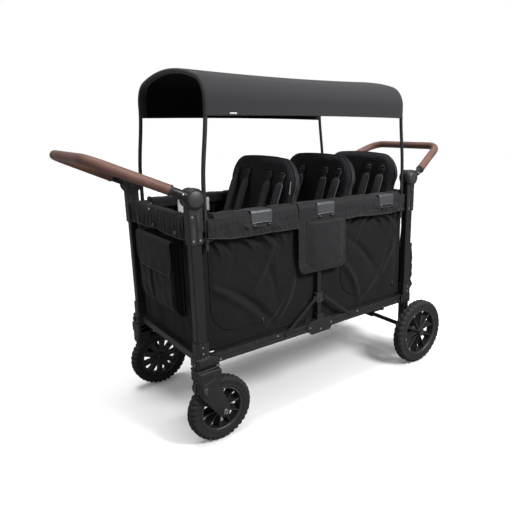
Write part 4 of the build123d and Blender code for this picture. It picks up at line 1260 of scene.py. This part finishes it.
def backPoints(side):
    # the pad's front (-1) or rear (+1) face in its own frame: across, up the back, and out of it
    rows = 0.001 + 0.9985 * np.sin(np.linspace(0, np.pi / 2, 150))
    u, v = np.meshgrid(np.linspace(-1, 1, 130), rows, indexing="ij")
    tall = (seat["top"] - seat["foot"]) / np.cos(lean)
    half = backOutline(v, seat["half"], seat["corner"])
    half = half + (seat["flare"] + seat["fuller"]) * smoothStep((v * tall - 0.31) / 0.05)
    across = u * half
    up = v * tall + seat["crownRise"] * (1 - u ** 2) * v ** 6 - seat["crownRise"] * v ** 6
    rim = np.minimum(half - np.abs(across), np.minimum(v, 1 - v) * tall)
    thick = (seat["thick"] - seat["thinner"]) / 2 * (0.30 + 0.70 * dome(rim / 0.026))
    soft = 0.0011 * ripple(across, up, 181 + side, 0.15) + 0.0004 * ripple(across, up, 185 + side, 0.045)
    return across, up, side * (thick + soft * smoothStep(rim / 0.04))


def tilted(across, up, out, crossing):
    # from the back's own frame to the wagon's: up the lean from its foot
    footX = crossing + (seat["foot"] - 0.8) * np.tan(lean)
    x = footX + up * np.sin(lean) + out * np.cos(lean)
    z = seat["foot"] + up * np.cos(lean) - out * np.sin(lean)
    return surface(x, across, z)


def laidOn(piece, line, lift):
    # each point moved to the nearest place on the piece, then out along its normal, and the line evened
    found = [piece.closest_point_on_mesh(Vector(point)) for point in line]
    spots = np.array([hit[1] for hit in found]) + lift * np.array([hit[2] for hit in found])
    weights = np.hanning(9) / np.hanning(9).sum()
    soft = [np.convolve(np.pad(spots[:, k], 4, mode="edge"), weights, "valid") for k in range(3)]
    return evenly(np.stack(soft, -1), len(line))


def copyAt(piece, name, shift):
    mesh = piece.data.copy()
    mesh.name = name
    mesh.transform(Matrix.Translation(Vector(shift)))
    twin = bpy.data.objects.new(name, mesh)
    bpy.context.scene.collection.objects.link(twin)
    return twin


def seatBacks():
    base = seat["centres"][0]
    faces = [tilted(*backPoints(side), base) for side in (-1, 1)]
    pad = closedPair("seatBackPad1", faces[0], faces[1], "seatClothPaintedLight")
    inflate(pad, seat["backCap"])
    for number, crossing in enumerate(seat["centres"], start=1):
        back = pad if number == 1 else copyAt(pad, f"seatBackPad{number}", (crossing - base, 0, 0))
        place(back, "frame", "seat_fabric", f"seat_back_{number}")
        trims = []
        for side in (-1, 1):
            across, up, out = backPoints(side)
            loop = [np.stack([q[2, 4:-3] for q in (across, up, out)], -1),
                    np.stack([q[2:-2, -3] for q in (across, up, out)], -1),
                    np.stack([q[-3, 4:-3][::-1] for q in (across, up, out)], -1)]
            edge = evenly(np.vstack(loop), 260)
            grow = edge.copy()
            middle = np.array([0, edge[:, 1].mean(), 0])
            grow[:, :2] += 0.0022 * (edge - middle)[:, :2] / np.linalg.norm((edge - middle)[:, :2],
                axis=1)[:, None]
            line = tilted(grow[:, 0], grow[:, 1], 0 * grow[:, 2] + side * seat["pipeGap"], crossing)
            line = laidOn(back, line, 0.0008)
            trims.append(tube("seatPiping", line, 0.0026, "pipingCloth", sides=8))
        place(joined(f"seatPiping{number}", trims), "frame", "seat_fabric")
    print("seat backs made")


def seatCushions():
    base = seat["centres"][0]
    footX = base + (0.530 - 0.8) * np.tan(lean)
    rear = footX - seat["thick"] / 2 - 0.004
    u, v = np.meshgrid(np.linspace(-1, 1, 110), np.linspace(-1, 1, 60), indexing="ij")
    pinch = 1 - 0.018 * np.abs(u * v) ** 3
    x = rear - cushion["deep"] / 2 + v * cushion["deep"] / 2 * (pinch - 0.010 * (1 - u ** 2))
    y = u * cushion["half"] * (pinch - 0.006 * (1 - v ** 2))
    rim = np.minimum((1 - np.abs(u)) * cushion["half"], (1 - np.abs(v)) * cushion["deep"] / 2)
    crown = 0.25 + 0.75 * dome(rim / 0.024)
    mid, half = (cushion["low"] + cushion["high"]) / 2, (cushion["high"] - cushion["low"]) / 2
    top = mid + half * (crown + 0.10 * (1 - u ** 2) * (1 - v ** 2)) - 0.002
    under = mid - half * np.minimum(crown, 0.92)
    pad = closedPair("cushionPad", surface(x, y, top), surface(x, y, under), "seatClothPaintedLight")
    inflate(pad, seat["cushionCap"])
    pads = [pad] + [copyAt(pad, "cushionPad", (c - base, 0, 0)) for c in seat["centres"][1:]]
    whole = onSeats("seatCushionPads", pads, "seat_cushions")
    pipes = []
    edge = np.vstack([surface(x[0], y[0], 0 * x[0] + mid),
        surface(x[1:, -1], y[1:, -1], 0 * x[1:, -1] + mid),
        surface(x[-1, ::-1][1:], y[-1, ::-1][1:], 0 * x[-1][1:] + mid),
        surface(x[::-1, 0][1:-1], y[::-1, 0][1:-1], 0 * x[1:-1, 0] + mid)])
    centre = edge.mean(0)
    edge = centre + (edge - centre) * [1.012, 1.006, 1]
    for crossing in seat["centres"]:
        pipes.append(tube("cushionPiping", evenly(edge, 220, True) + [crossing - base, 0, 0], 0.0024,
            "pipingCloth", sides=7, closed=True))
    onSeats("cushionPipings", pipes)


def harness():
    # each strap: thin webbing out of a slot, an adjuster, a padded sleeve, and webbing to a buckle end
    strap = dict(spots=(-0.165, -0.080, 0.080, 0.165), webWide=0.025, padWide=0.046, padThick=0.0095)
    webs, pads, fittings, edges, slots = [], [], [], [], []
    face = seat["thick"] / 2 + 0.0015
    for crossing in seat["centres"]:
        footX = crossing + (seat["foot"] - 0.8) * np.tan(lean)

        def inSeat(line):
            line = np.asarray(line, float)
            return tilted(line[:, 0], line[:, 1], -line[:, 2], crossing)

        for index, y in enumerate(strap["spots"]):
            swing = 0.004 * np.sin(3.1 * index + 40 * crossing)
            web = [(y, 0.398, face - 0.006), (y, 0.395, face + 0.0035), (y, 0.365, face + 0.008),
                   (y + swing, 0.300, face + 0.022), (y + 2 * swing, 0.190, face + 0.044),
                   (y + 3 * swing, 0.095, face + 0.060), (y + 2 * swing, 0.045, face + 0.055),
                   (y, 0.030, face + 0.012), (y, 0.030, face - 0.004)]
            path = evenly(inSeat(roundedPath(web, [0, 0.003, 0.06, 0.2, 0.3, 0.03, 0.02, 0.01, 0], False,
                8)), 110)
            webs.append(ribbon("web", path, strap["webWide"], 0.0022, (-1, 0, 0.25), "strapClothPaintedLight", sides=14))
            sleeve = evenly(inSeat(roundedPath([(y, 0.352, face + 0.0125), (y + swing, 0.300, face + 0.0245),
                 (y + 2 * swing, 0.190, face + 0.0475), (y + 3 * swing, 0.105, face + 0.0635)],
                [0, 0.2, 0.3, 0], False, 8)), 80)
            t = np.linspace(0, 1, 80)
            ends = np.sqrt(np.clip(1 - (np.abs(2 * t - 1)) ** 14, 0, 1))
            wide = strap["padWide"] * (0.55 + 0.45 * ends) * (1 - 0.02 * np.sin(9 * t + index))
            thick = strap["padThick"] * (0.25 + 0.75 * ends) * (1 + 0.05 * np.sin(14 * t + 2 * index))
            pads.append(ribbon("sleeve", sleeve, wide, thick, (-1, 0, 0.25), "strapClothPaintedLight", power=3.0,
                sides=26))
            _, side, out = pathFrames(sleeve, (-1, 0, 0.25))
            for k in (-1, 1):
                line = sleeve + k * side * (wide[:, None] / 2 - 0.0022) + out * thick[:, None] * 0.30
                edges.append(tube("sleeveEdge", line[2:-2], 0.0016, "pipingCloth", sides=6))
                edges.append(stitches("sleeveStitch", sleeve[3:-3] + k * side[3:-3] * 0.0165 + out[3:-3] *
                    thick[3:-3, None] * 0.5, out[3:-3], 0.005, "pipingCloth"))
            frameLoop = roundedPath([(y - 0.0165, 0.388, face + 0.0060), (y + 0.0165, 0.388, face + 0.0060),
                 (y + 0.0165, 0.366, face + 0.0105), (y - 0.0165, 0.366, face + 0.0105)],
                0.004, True, 5)
            fittings.append(tube("adjuster", inSeat(frameLoop), 0.0024, "blackPlastic", sides=8, closed=True))
            bar = [(y - 0.0165, 0.377, face + 0.0100), (y + 0.0165, 0.377, face + 0.0100)]
            fittings.append(tube("adjusterBar", inSeat(bar), 0.0022, "blackPlastic", sides=8))
            tip = inSeat([(y + 3 * swing, 0.112, face + 0.0625), (y + 3 * swing, 0.066, face + 0.0605)])
            fittings.append(ribbon("buckleEnd", evenly(tip, 12),
                0.030 * np.array([.7, .95, 1, 1, 1, 1, 1, 1, 1, 1, .9, .6]),
                0.010, (-1, 0, 0.25), "blackPlastic", power=5.0, sides=20))
            lip = roundedPath([(y - 0.026, 0.402, face - 0.0002), (y + 0.026, 0.402, face - 0.0002),
                (y + 0.026, 0.392, face - 0.0002), (y - 0.026, 0.392, face - 0.0002)], 0.0045, True, 6)
            slots.append(tube("slotEdge", inSeat(lip), 0.0016, "pipingCloth", sides=7, closed=True))
            # a near-black sheet just in front of each slot: painted shade for the slot's opening
            slotShadeFace = surface(*[np.linspace(y - 0.023, y + 0.023, 8)[:, None],
                np.linspace(0.394, 0.400, 4)[None], -(face + 0.0003)])
            dark = tilted(slotShadeFace[..., 0], slotShadeFace[..., 1], slotShadeFace[..., 2], crossing)
            slots.append(thicken(gridPiece("slotShadePatch", dark, "liningAndSlotShadeCloth"), 0.0004))
    sleeves = onSeats("harnessSleeves", pads)
    place(joined("harnessWebbing", webs), "frame", "webbing", "harness_straps")
    onSeats("harnessEdges", edges)
    place(joined("harnessFittings", fittings), "frame", "black_plastic")
    onSeats("seatSlotsAndShade", slots)


def plainTags():
    # blank woven tags: on the first seat's edge and inside the far wall
    t = np.linspace(-1, 1, 10)
    edge = np.linspace(0, 1, 14)
    tag = tilted(-0.2150 + 0.00405 * t[None], 0.362 - 0.048 * edge[:, None],
        -(seat["thick"] / 2 + 0.0010 - 0.0012 * t[None]), seat["centres"][0])
    parts = [thicken(gridPiece("seatTag", tag, "labelCloth"), 0.0008)]
    x, z = np.meshgrid(np.linspace(-0.350, -0.205, 30), np.linspace(0.745, 0.803, 14), indexing="ij")
    y = 0.2262 - 0.0006 * ripple(x, z, 191, 0.05)
    parts.append(thicken(gridPiece("wallTag", surface(x, y, z), "labelCloth"), 0.0008))
    onSeats("plainTags", parts)


seatBacks()
seatCushions()
harness()
plainTags()
print("seats made")


# Hard parts: the frame's own shapes with their edges rounded over
edgeWidths = dict(
    frameMetal=dict(corner_posts=0.0012, mid_posts=0.0012, bottom_rails=0.0016, braces=0.0008,
                    low_cross_rails=0.0014, rear_legs=0.0018),
    blackPlastic=dict(corner_joints=0.0024, handle_brackets=0.0018, mid_hinges=0.0016, slider_collars=0.0016,
                      canopy_clamps=0.0012, brake_pedal=0.0016))
hardSlots = dict(frameMetal="frame_metal", blackPlastic="black_plastic")


def roundedCopy(nodeName, width):
    # doubles merged and flat faces joined, so that only the true edges are rounded
    source = nodes[nodeName]
    mesh = source.data.copy()
    mesh.transform(source.matrix_world)
    work = bmesh.new()
    work.from_mesh(mesh)
    bmesh.ops.remove_doubles(work, verts=work.verts, dist=2e-6)
    bmesh.ops.dissolve_limit(work, angle_limit=np.radians(1.0), verts=work.verts, edges=work.edges)
    work.to_mesh(mesh)
    work.free()
    piece = bpy.data.objects.new(nodeName + "_worn", mesh)
    bpy.context.scene.collection.objects.link(piece)
    soften(piece, width, 2, 38)
    piece.modifiers["edge"].use_clamp_overlap = True
    piece.modifiers["edge"].harden_normals = False
    applyAll(piece)
    return piece


def roundedParts():
    for coat, widths in edgeWidths.items():
        for nodeName, width in widths.items():
            piece = roundedCopy(nodeName, width)
            piece.name = nodeName.replace("_", " ").title().replace(" ", "") + "Rounded"
            piece.data.materials.clear()
            piece.data.materials.append(finish[coat])
            body = "brake_pedal" if nodeName == "brake_pedal" else "frame"
            place(piece, body, hardSlots[coat], nodeName)
    print("edges rounded on", sum(len(widths) for widths in edgeWidths.values()), "nodes")


# Wheels: a treaded tyre and a rim with ten fins that widen inward
wheel = dict(width=0.046, lugs=36, lugDeep=0.0046, spokes=10, samples=9,
    hubHalf=dict(front=0.0285, rear=0.023))
wheels = dict(front_left=(-0.463, -0.270, 0.120, 0.081), front_right=(-0.463, 0.270, 0.120, 0.081),
    rear_left=(0.566, -0.325, 0.150, 0.107), rear_right=(0.566, 0.325, 0.150, 0.107))


def tyrePiece(name, x, y, radius, seatRadius, out):
    # radius over angle and place across the section; lugs alternate between the two shoulders
    half = wheel["width"] / 2
    section = np.array([(seatRadius, -half + 0.006), (seatRadius + 0.004, -half + 0.0022),
        (seatRadius + 0.0070, -half + 0.0010),
        (seatRadius + 0.0085, -half + 0.0026), (radius - 0.018, -half + 0.0008), (radius - 0.012, -half),
        (radius - 0.0075, -half + 0.0015), (radius - 0.003, -half + 0.0055), (radius, -half + 0.011),
        (radius, -0.0065), (radius - 0.0022, -0.0050), (radius - 0.0022, 0.0), ])
    section = np.vstack([section, section[:-1][::-1] * [1, -1]])
    line = evenly(section, 76)
    count = wheel["lugs"] * wheel["samples"]
    angle = fullTurn(count)[:, None]
    r, w = line[:, 0][None], line[:, 1][None]
    wave = (angle * wheel["lugs"] / (2 * np.pi) + 0.25 * np.sign(w) + 0.35 * np.abs(w) / half) % 1.0
    lug = smoothStep((0.36 - np.abs(wave - 0.5)) / 0.09)
    shoulder = smoothStep((np.abs(w) - 0.0050) / 0.003) * smoothStep((r - (radius - 0.0135)) / 0.004)
    mid = smoothStep((0.0075 - np.abs(w)) / 0.002) * smoothStep((r - (radius - 0.004)) / 0.001)
    notch = smoothStep((0.10 - np.abs((angle * wheel["lugs"] / (2 * np.pi)) % 1.0 - 0.5)) / 0.05)
    r = r - wheel["lugDeep"] * shoulder * (1 - lug) - 0.0012 * mid * notch
    w = w * (1 - 0.050 * shoulder * (1 - lug))
    points = surface(x + r * np.cos(angle), y + out * w, radius + r * np.sin(angle))
    return outward(gridPiece(name, points, "tyreRubber", closeU=True, closeV=True))


def rimParts(x, y, radius, seatRadius, out, hubHalf):
    half = wheel["width"] / 2 - 0.007
    centre = (x, y, radius)
    outer = seatRadius - 0.0004
    barrel = [(outer, -half), (outer + 0.0022, -half - 0.0030), (outer + 0.001, -half - 0.0048),
              (outer - 0.005, -half - 0.0042), (outer - 0.0070, -half + 0.001), (outer - 0.0085, 0),
              (outer - 0.0070, half - 0.001), (outer - 0.005, half + 0.0042), (outer + 0.001, half + 0.0048),
              (outer + 0.0022, half + 0.0030), (outer, half)]
    parts = [turned("barrel", barrel, centre, 1, "rimPlastic", segments=112)]
    hub = [(0.0068, -hubHalf), (0.0150, -hubHalf), (0.0172, -hubHalf + 0.0022), (0.0182, -hubHalf + 0.006),
           (0.0205, 0), (0.0182, hubHalf - 0.006), (0.0172, hubHalf - 0.0022), (0.0150, hubHalf),
           (0.0068, hubHalf)]
    parts.append(turned("hub", hub, centre, 1, "rimPlastic", segments=56))
    cone = [(0.0170, 0.0090), (0.0300, 0.0010), (0.0405, -0.0075), (0.0410, -0.0105), (0.0300, -0.0030),
        (0.0170, 0.0045)]
    parts.append(turned("hubCone", facing(cone, out), centre, 1, "rimPlastic", segments=80))
    # one fin: broader toward the wheel's inner face, and narrower at mid length
    run = np.linspace(0.0155, outer - 0.0062, 26)[:, None]
    t = (run - 0.0155) / (outer - 0.0217)
    waist = 1 - 0.16 * np.sin(np.pi * t)
    thin, broad, deepOut, deepIn = 0.0021, 0.0150, 0.0150, -0.0150
    flank = np.array([(-thin * 0.55, deepOut), (thin * 0.55, deepOut), (thin, deepOut - 0.0018),
        (thin * 1.15, 0.0040),
        (broad * 0.72, -0.0060), (broad, deepIn + 0.0025), (broad * 0.86, deepIn),
        (-broad * 0.86, deepIn), (-broad, deepIn + 0.0025), (-broad * 0.72, -0.0060),
        (-thin * 1.15, 0.0040), (-thin, deepOut - 0.0018)])
    across, depth = flank[:, 0][None] * waist, flank[:, 1][None] - 0.0015 * np.sin(np.pi * t)
    for k in range(wheel["spokes"]):
        turn = 2 * np.pi * (k + 0.25) / wheel["spokes"]
        px = x + run * np.cos(turn) - across * np.sin(turn)
        pz = radius + run * np.sin(turn) + across * np.cos(turn)
        points = surface(px, y + out * depth, pz)
        parts.append(outward(gridPiece("fin", points, "rimPlastic", closeV=True, capEnds=True)))
    return parts


def hexSocket(name, centre, axis, out, radius, thick, material):
    # a round head with a bevelled rim and a six-sided socket sunk in it
    angle = fullTurn(48)[:, None]
    hexR = 0.50 * radius * np.cos(np.pi / 6) / np.cos((angle + np.pi / 6) % (np.pi / 3) - np.pi / 6)
    rings = [(radius, 0.0, 0), (radius, thick * 0.75, 0), (radius * 0.90, thick, 0), (1.12, thick, 1),
             (1.0, thick * 0.93, 1), (0.96, thick * 0.35, 1), (0.0, thick * 0.30, 1)]
    r = np.concatenate([np.full_like(angle, a) if not hexed else a * hexR for a, _, hexed in rings], 1)
    h = np.array([b for _, b, _ in rings])[None] + 0 * r
    one, two = [i for i in range(3) if i != axis]
    points = np.zeros(r.shape + (3,))
    points[..., one], points[..., two], points[..., axis] = r * np.cos(angle), r * np.sin(angle), out * h
    piece = gridPiece(name, points + np.asarray(centre), material, closeU=True)
    work = bmesh.new()
    work.from_mesh(piece.data)
    bmesh.ops.remove_doubles(work, verts=work.verts, dist=1e-6)
    bmesh.ops.holes_fill(work, edges=[e for e in work.edges if e.is_boundary])
    bmesh.ops.recalc_face_normals(work, faces=work.faces)
    work.to_mesh(piece.data)
    work.free()
    return piece


def wheelPieces():
    for key, (x, y, radius, seatRadius) in wheels.items():
        end, hand = key.split("_")
        out = -1 if hand == "left" else 1
        body = f"{end}_wheel_{hand}"
        place(tyrePiece(f"{end}Tyre{hand.title()}", x, y, radius, seatRadius, out), body, "tyre",
            f"{end}_tyre_{hand}")
        parts = rimParts(x, y, radius, seatRadius, out, wheel["hubHalf"][end])
        if end == "rear":
            cap = [(0.0, 0.0065), (0.008, 0.0062), (0.0135, 0.0050), (0.0160, 0.0022), (0.0165, 0.0),
                (0.0, -0.001)]
            cap = facing(cap, out, 0.0226)
            parts.append(turned("hubCap", cap, (x, y, radius), 1, "blackPlastic", segments=48, closed=False))
            ring = [(0.0168, 0.0205), (0.0185, 0.0222), (0.0200, 0.0205), (0.0185, 0.0190)]
            parts.append(turned("hubRing", facing(ring, out), (x, y, radius), 1, "rimPlastic",
                segments=48))
        place(joined(f"{end}Rim{hand.title()}", parts), body, "rim_plastic", f"{end}_rim_{hand}")


# Caster forks: a tapered plate outside the wheel under a swivel block with a pivot bolt
def forkPieces():
    fork = dict(x=-0.523, wheelX=-0.463, plateIn=0.2992, plateOut=0.3118, edge=0.0030, height=0.120)
    for hand, out in (("left", -1), ("right", 1)):
        x, wheelX = fork["x"], fork["wheelX"]
        copy = roundedCopy(f"caster_fork_{hand}", 0.0016)
        copy.data.materials.clear()
        copy.data.materials.append(finish["blackPlastic"])
        parts = [copy]
        outline = roundedPath([(x - 0.0265, 0.290), (x + 0.0250, 0.290), (x + 0.0345, 0.252),
            (wheelX + 0.0205, 0.138),
             (wheelX + 0.0170, 0.1035), (wheelX, 0.0965), (wheelX - 0.0190, 0.105),
             (x - 0.0290, 0.204)],
            [0.008, 0.008, 0.05, 0.06, 0.012, 0.016, 0.02, 0.03], steps=10)
        parts.append(plate("forkPlate", outline, out * fork["plateIn"], out * fork["plateOut"], 1,
            fork["edge"],
            "blackPlastic"))
        rib = roundedPath([(x - 0.0250, 0.246), (x + 0.0290, 0.262), (x + 0.0300, 0.244),
            (x - 0.0240, 0.222)],
            [0.005, 0.005, 0.005, 0.005], steps=6)
        parts.append(plate("forkRib", rib, out * fork["plateOut"], out * (fork["plateOut"] + 0.0045), 1,
            0.0020,
            "blackPlastic"))
        boss = [(0.0095, 0.0), (0.0150, 0.0), (0.0150, 0.0040), (0.0128, 0.0062), (0.0105, 0.0062),
            (0.0095, 0.0045)]
        boss = facing(boss, out, fork["plateOut"] + 0.0015)
        parts.append(turned("pivotBoss", boss, (x - 0.010, 0, 0.222), 1, "blackPlastic", segments=44))
        parts.append(hexSocket("pivotBolt", (x - 0.010, out * (fork["plateOut"] + 0.0010), 0.222), 1, out,
            0.0086,
            0.0042, "darkSteel"))
        dish = [(0.0, 0.0), (0.0135, 0.0), (0.0135, 0.0012), (0.0115, 0.0022), (0.0100, 0.0022),
            (0.0, 0.0016)]
        dish = facing(dish, out, fork["plateOut"])
        parts.append(turned("axleDish", dish, (wheelX, 0, fork["height"]), 1, "blackPlastic", segments=44,
            closed=False))
        parts.append(hexSocket("axleNut", (wheelX, out * (fork["plateOut"] + 0.0012), fork["height"]), 1,
            out, 0.0092,
            0.0056, "rivetSteel"))
        # swivel block: three stepped rings round the stem, and a slanted cover line
        block = roundedPath([(x - 0.0300, 0.2500), (x - 0.0300, 0.2925), (x + 0.0525, 0.2925),
            (x + 0.0515, 0.2500)],
            0.006, steps=6)
        parts.append(plate("swivelBlock", block, out * 0.2440, out * 0.2985, 1, 0.0040, "blackPlastic"))
        cover = roundedPath([(x - 0.0300, 0.2905), (x + 0.0530, 0.2905), (x + 0.0515, 0.2490),
            (x + 0.0100, 0.2275),
            (x - 0.0300, 0.2500)], [0.005, 0.005, 0.006, 0.004, 0.006], steps=6)
        parts.append(plate("blockCover", cover, out * 0.2965, out * 0.3150, 1, 0.0030, "blackPlastic"))
        for level, wide in ((0.2915, 0.0310), (0.2760, 0.0300), (0.2560, 0.0305)):
            loop = roundedPath([(x - wide, out * 0.2430, level - 0.003),
                (x + 0.0545, out * 0.2430, level + 0.003),
                 (x + 0.0545, out * 0.3005, level + 0.003), (x - wide, out * 0.3005, level - 0.003)],
                0.009, True, 6)
            parts.append(tube("blockRing", loop, 0.0022, "blackPlastic", sides=8, closed=True))
        bolt = (x - 0.0300, out * 0.268, 0.222)
        face = [(0.0085, 0.004), (0.0155, 0.004), (0.0155, -0.0025), (0.0135, -0.0045), (0.0100, -0.0045),
            (0.0085, -0.002)]
        parts.append(turned("frontBoss", face, bolt, 0, "blackPlastic", segments=44))
        knuckle = roundedPath([(bolt[1] - out * 0.019, 0.246), (bolt[1] + out * 0.026, 0.252),
            (bolt[1] + out * 0.030, 0.222),
            (bolt[1] + out * 0.020, 0.196), (bolt[1] - out * 0.014, 0.198)], 0.010, steps=6)
        parts.append(plate("knuckle", knuckle, x - 0.0285, x + 0.020, 0, 0.003, "blackPlastic"))
        parts.append(hexSocket("frontBolt", (bolt[0] + 0.0005, bolt[1], bolt[2]), 0, -1, 0.0080, 0.0030,
            "darkSteel"))
        place(joined(f"casterFork{hand.title()}", parts), f"caster_{hand}", "black_plastic",
            f"caster_fork_{hand}")


def housingDetails():
    # on each front corner: a slotted strip on the collar and two slanted facets on the housing's outer face
    post = dict(x=-0.523, face=0.2900, housing=0.2920)
    parts = []
    for out in (-1, 1):
        x = post["x"]
        for k in (-1, 1):
            middle = x - 0.004 + k * 0.0075
            bar = rectangle(middle - 0.0022, middle + 0.0022, 0.3345, 0.3850, 0.0012, 4)
            parts.append(plate("collarBar", bar, out * post["face"], out * (post["face"] + 0.0022), 1, 0.0008,
                "blackPlastic"))
        shell = roundedPath([(x - 0.0285, 0.2972), (x - 0.0285, 0.3330), (x + 0.0180, 0.3390),
            (x + 0.0540, 0.3235),
            (x + 0.0545, 0.2972)], [0.003, 0.003, 0.012, 0.006, 0.003], steps=6)
        parts.append(plate("housingShell", shell, out * 0.2440, out * (post["housing"] + 0.0035), 1, 0.0026,
            "blackPlastic"))
        facet = roundedPath([(x - 0.0225, 0.3290), (x + 0.0180, 0.3345), (x + 0.0490, 0.3205),
            (x + 0.0490, 0.3150),
            (x - 0.0040, 0.3010), (x - 0.0225, 0.3010)], 0.003, steps=5)
        parts.append(plate("housingFacet", facet, out * (post["housing"] + 0.003),
            out * (post["housing"] + 0.0070), 1,
            0.0020, "blackPlastic"))
    place(joined("housingFacets", parts), "frame", "black_plastic")


roundedParts()
housingDetails()
wheelPieces()
forkPieces()
print("wheels and forks made")


# Seat clips: saddles over the rail covers, with two feet each
def seatClips():
    clip = dict(centres=clipCentres, half=0.044, thick=0.0034, foot=0.770, top=0.8160, footSpread=0.031)
    parts = []
    for centre in clip["centres"]:
        for s in (-1, 1):
            profile = roundedPath([(s * 0.2235, 0.712), (s * 0.2235, clip["top"]), (s * 0.2885, clip["top"]),
                (s * 0.2885, clip["foot"])], [0, 0.006, 0.0085, 0], closed=False, steps=10)
            profile = evenly(profile, 64)
            u = np.linspace(-1, 1, 26)[:, None]
            y, z = profile[:, 0][None], profile[:, 1][None]
            edge = np.abs(u) ** 8
            outerFace = smoothStep((np.abs(y) - 0.282) / 0.004)
            x = centre + u * (clip["half"] - 0.003 * outerFace * smoothStep((0.80 - z) / 0.04))
            points = surface(
                x, y - s * 0.0016 * edge * outerFace, z - 0.0012 * edge * (1 - outerFace)
                + 0.0035 * (1 - u ** 4) * smoothStep((0.778 - z) / 0.008) * outerFace)
            saddle = thicken(gridPiece("saddle", points, "clipPlastic", flip=s < 0), clip["thick"])
            applyAll(saddle)
            soften(saddle, 0.0010, 2, 50)
            parts.append(saddle)
            lip = points[:, -1] + [0, s * 0.0010, 0]
            parts.append(tube("saddleLip", lip, 0.0026, "clipPlastic", sides=8))
            inset = clip["half"] - 0.002
            shelf = rectangle(centre - inset, centre + inset, s * 0.1805, s * 0.2245, 0.004, 5)
            parts.append(plate("shelf", shelf, 0.5078, 0.5116, 2, 0.0010, "clipPlastic"))
            hanger = roundedPath([(centre - clip["half"] + 0.004, 0.5085),
                (centre + clip["half"] - 0.004, 0.5085),
                (centre + 0.034, 0.72), (centre - 0.034, 0.72)], 0.004, steps=5)
            parts.append(plate("hanger", hanger, s * 0.2212, s * 0.2246, 1, 0.0010, "clipPlastic"))
            for k in (-1, 1):
                a = fullTurn(20)[:, None]
                b = np.linspace(0, np.pi, 11)[None]
                knob = surface(
                    centre + k * clip["footSpread"] + 0.0112 * np.cos(a) * np.sin(b),
                    s * (0.2905 + 0.0068 * np.cos(b)), 0.7635 + 0.0062 * np.sin(a) * np.sin(b))
                parts.append(outward(gridPiece("clipFoot", knob, "blackPlastic", closeU=True)))
    place(joined("seatClips", parts), "frame", "clip_plastic", "seat_clips")


# Handle hubs: a stepped cap on each, a ring round the button, a collar where the leather ends
def handleDetails():
    hub = dict(x=0.523, z=0.877, slope=24.3, gripStart=0.082)
    for end, s in (("front", -1), ("rear", 1)):
        body = f"handle_{end}"
        turnedParts, inner = [], []
        for out in (-1, 1):
            cap = [(0.0, 0.0022), (0.0225, 0.0020), (0.0245, 0.0008), (0.0262, -0.0012), (0.0275, -0.0016),
                (0.0, -0.003)]
            turnedParts.append(turned("hubCap", facing(cap, out, 0.3008), (s * hub["x"], 0, hub["z"]), 1,
                "capPlastic", segments=64, closed=False))
            step = [(0.0338, 0.2995 - 0.0080), (0.0347, 0.2995 - 0.0090), (0.0347, 0.2740), (0.0338, 0.2730)]
            turnedParts.append(turned("hubStep", facing(step, out), (s * hub["x"], 0, hub["z"]), 1,
                "blackPlastic", segments=64))
            ring = [(0.0165, 0.2470), (0.0210, 0.2470), (0.0225, 0.2448), (0.0210, 0.2432), (0.0180, 0.2432),
                    (0.0165, 0.2446)]
            inner.append(turned("buttonRing", facing(ring, out), (s * hub["x"], 0, hub["z"]), 1,
                "blackPlastic", segments=56))
            slope = np.radians(hub["slope"])
            along = np.array([s * np.cos(slope), 0, np.sin(slope)])
            start = np.array([s * hub["x"], out * 0.2845, hub["z"]])
            # the handle runs inward past its straight foot, so the collar follows that line
            tip = np.array([0.313 - 0.052, 0.2845 - 0.205])
            gripLean = along * tip[0] + np.array([0, -out * tip[1], 0])
            gripLean /= np.linalg.norm(gripLean)
            at = start + along * 0.052 + gripLean * (hub["gripStart"] - 0.052 - 0.004)
            turnedParts.append(tube("gripCollar", np.array([at - gripLean * 0.004, at + gripLean * 0.001,
                at + gripLean * 0.005]),
                np.array([0.0150, 0.0182, 0.0176]), "blackPlastic", sides=36))
            pin = start + along * 0.044 + np.array([0, out * 0.0125, 0])
            turnedParts.append(turned("handlePin", [(0.0, out * 0.0028), (0.0032, out * 0.0022),
                (0.0046, 0.0),
                              (0.0, -out * 0.001)], pin, 1, "rivetSteel", segments=20,
                closed=False))
        place(joined(f"{end}HandleTrim", turnedParts), body, "black_plastic")
        place(joined(f"{end}ButtonRings", inner), "frame", "black_plastic")


seatClips()
handleDetails()
print("clips and handle trim made")
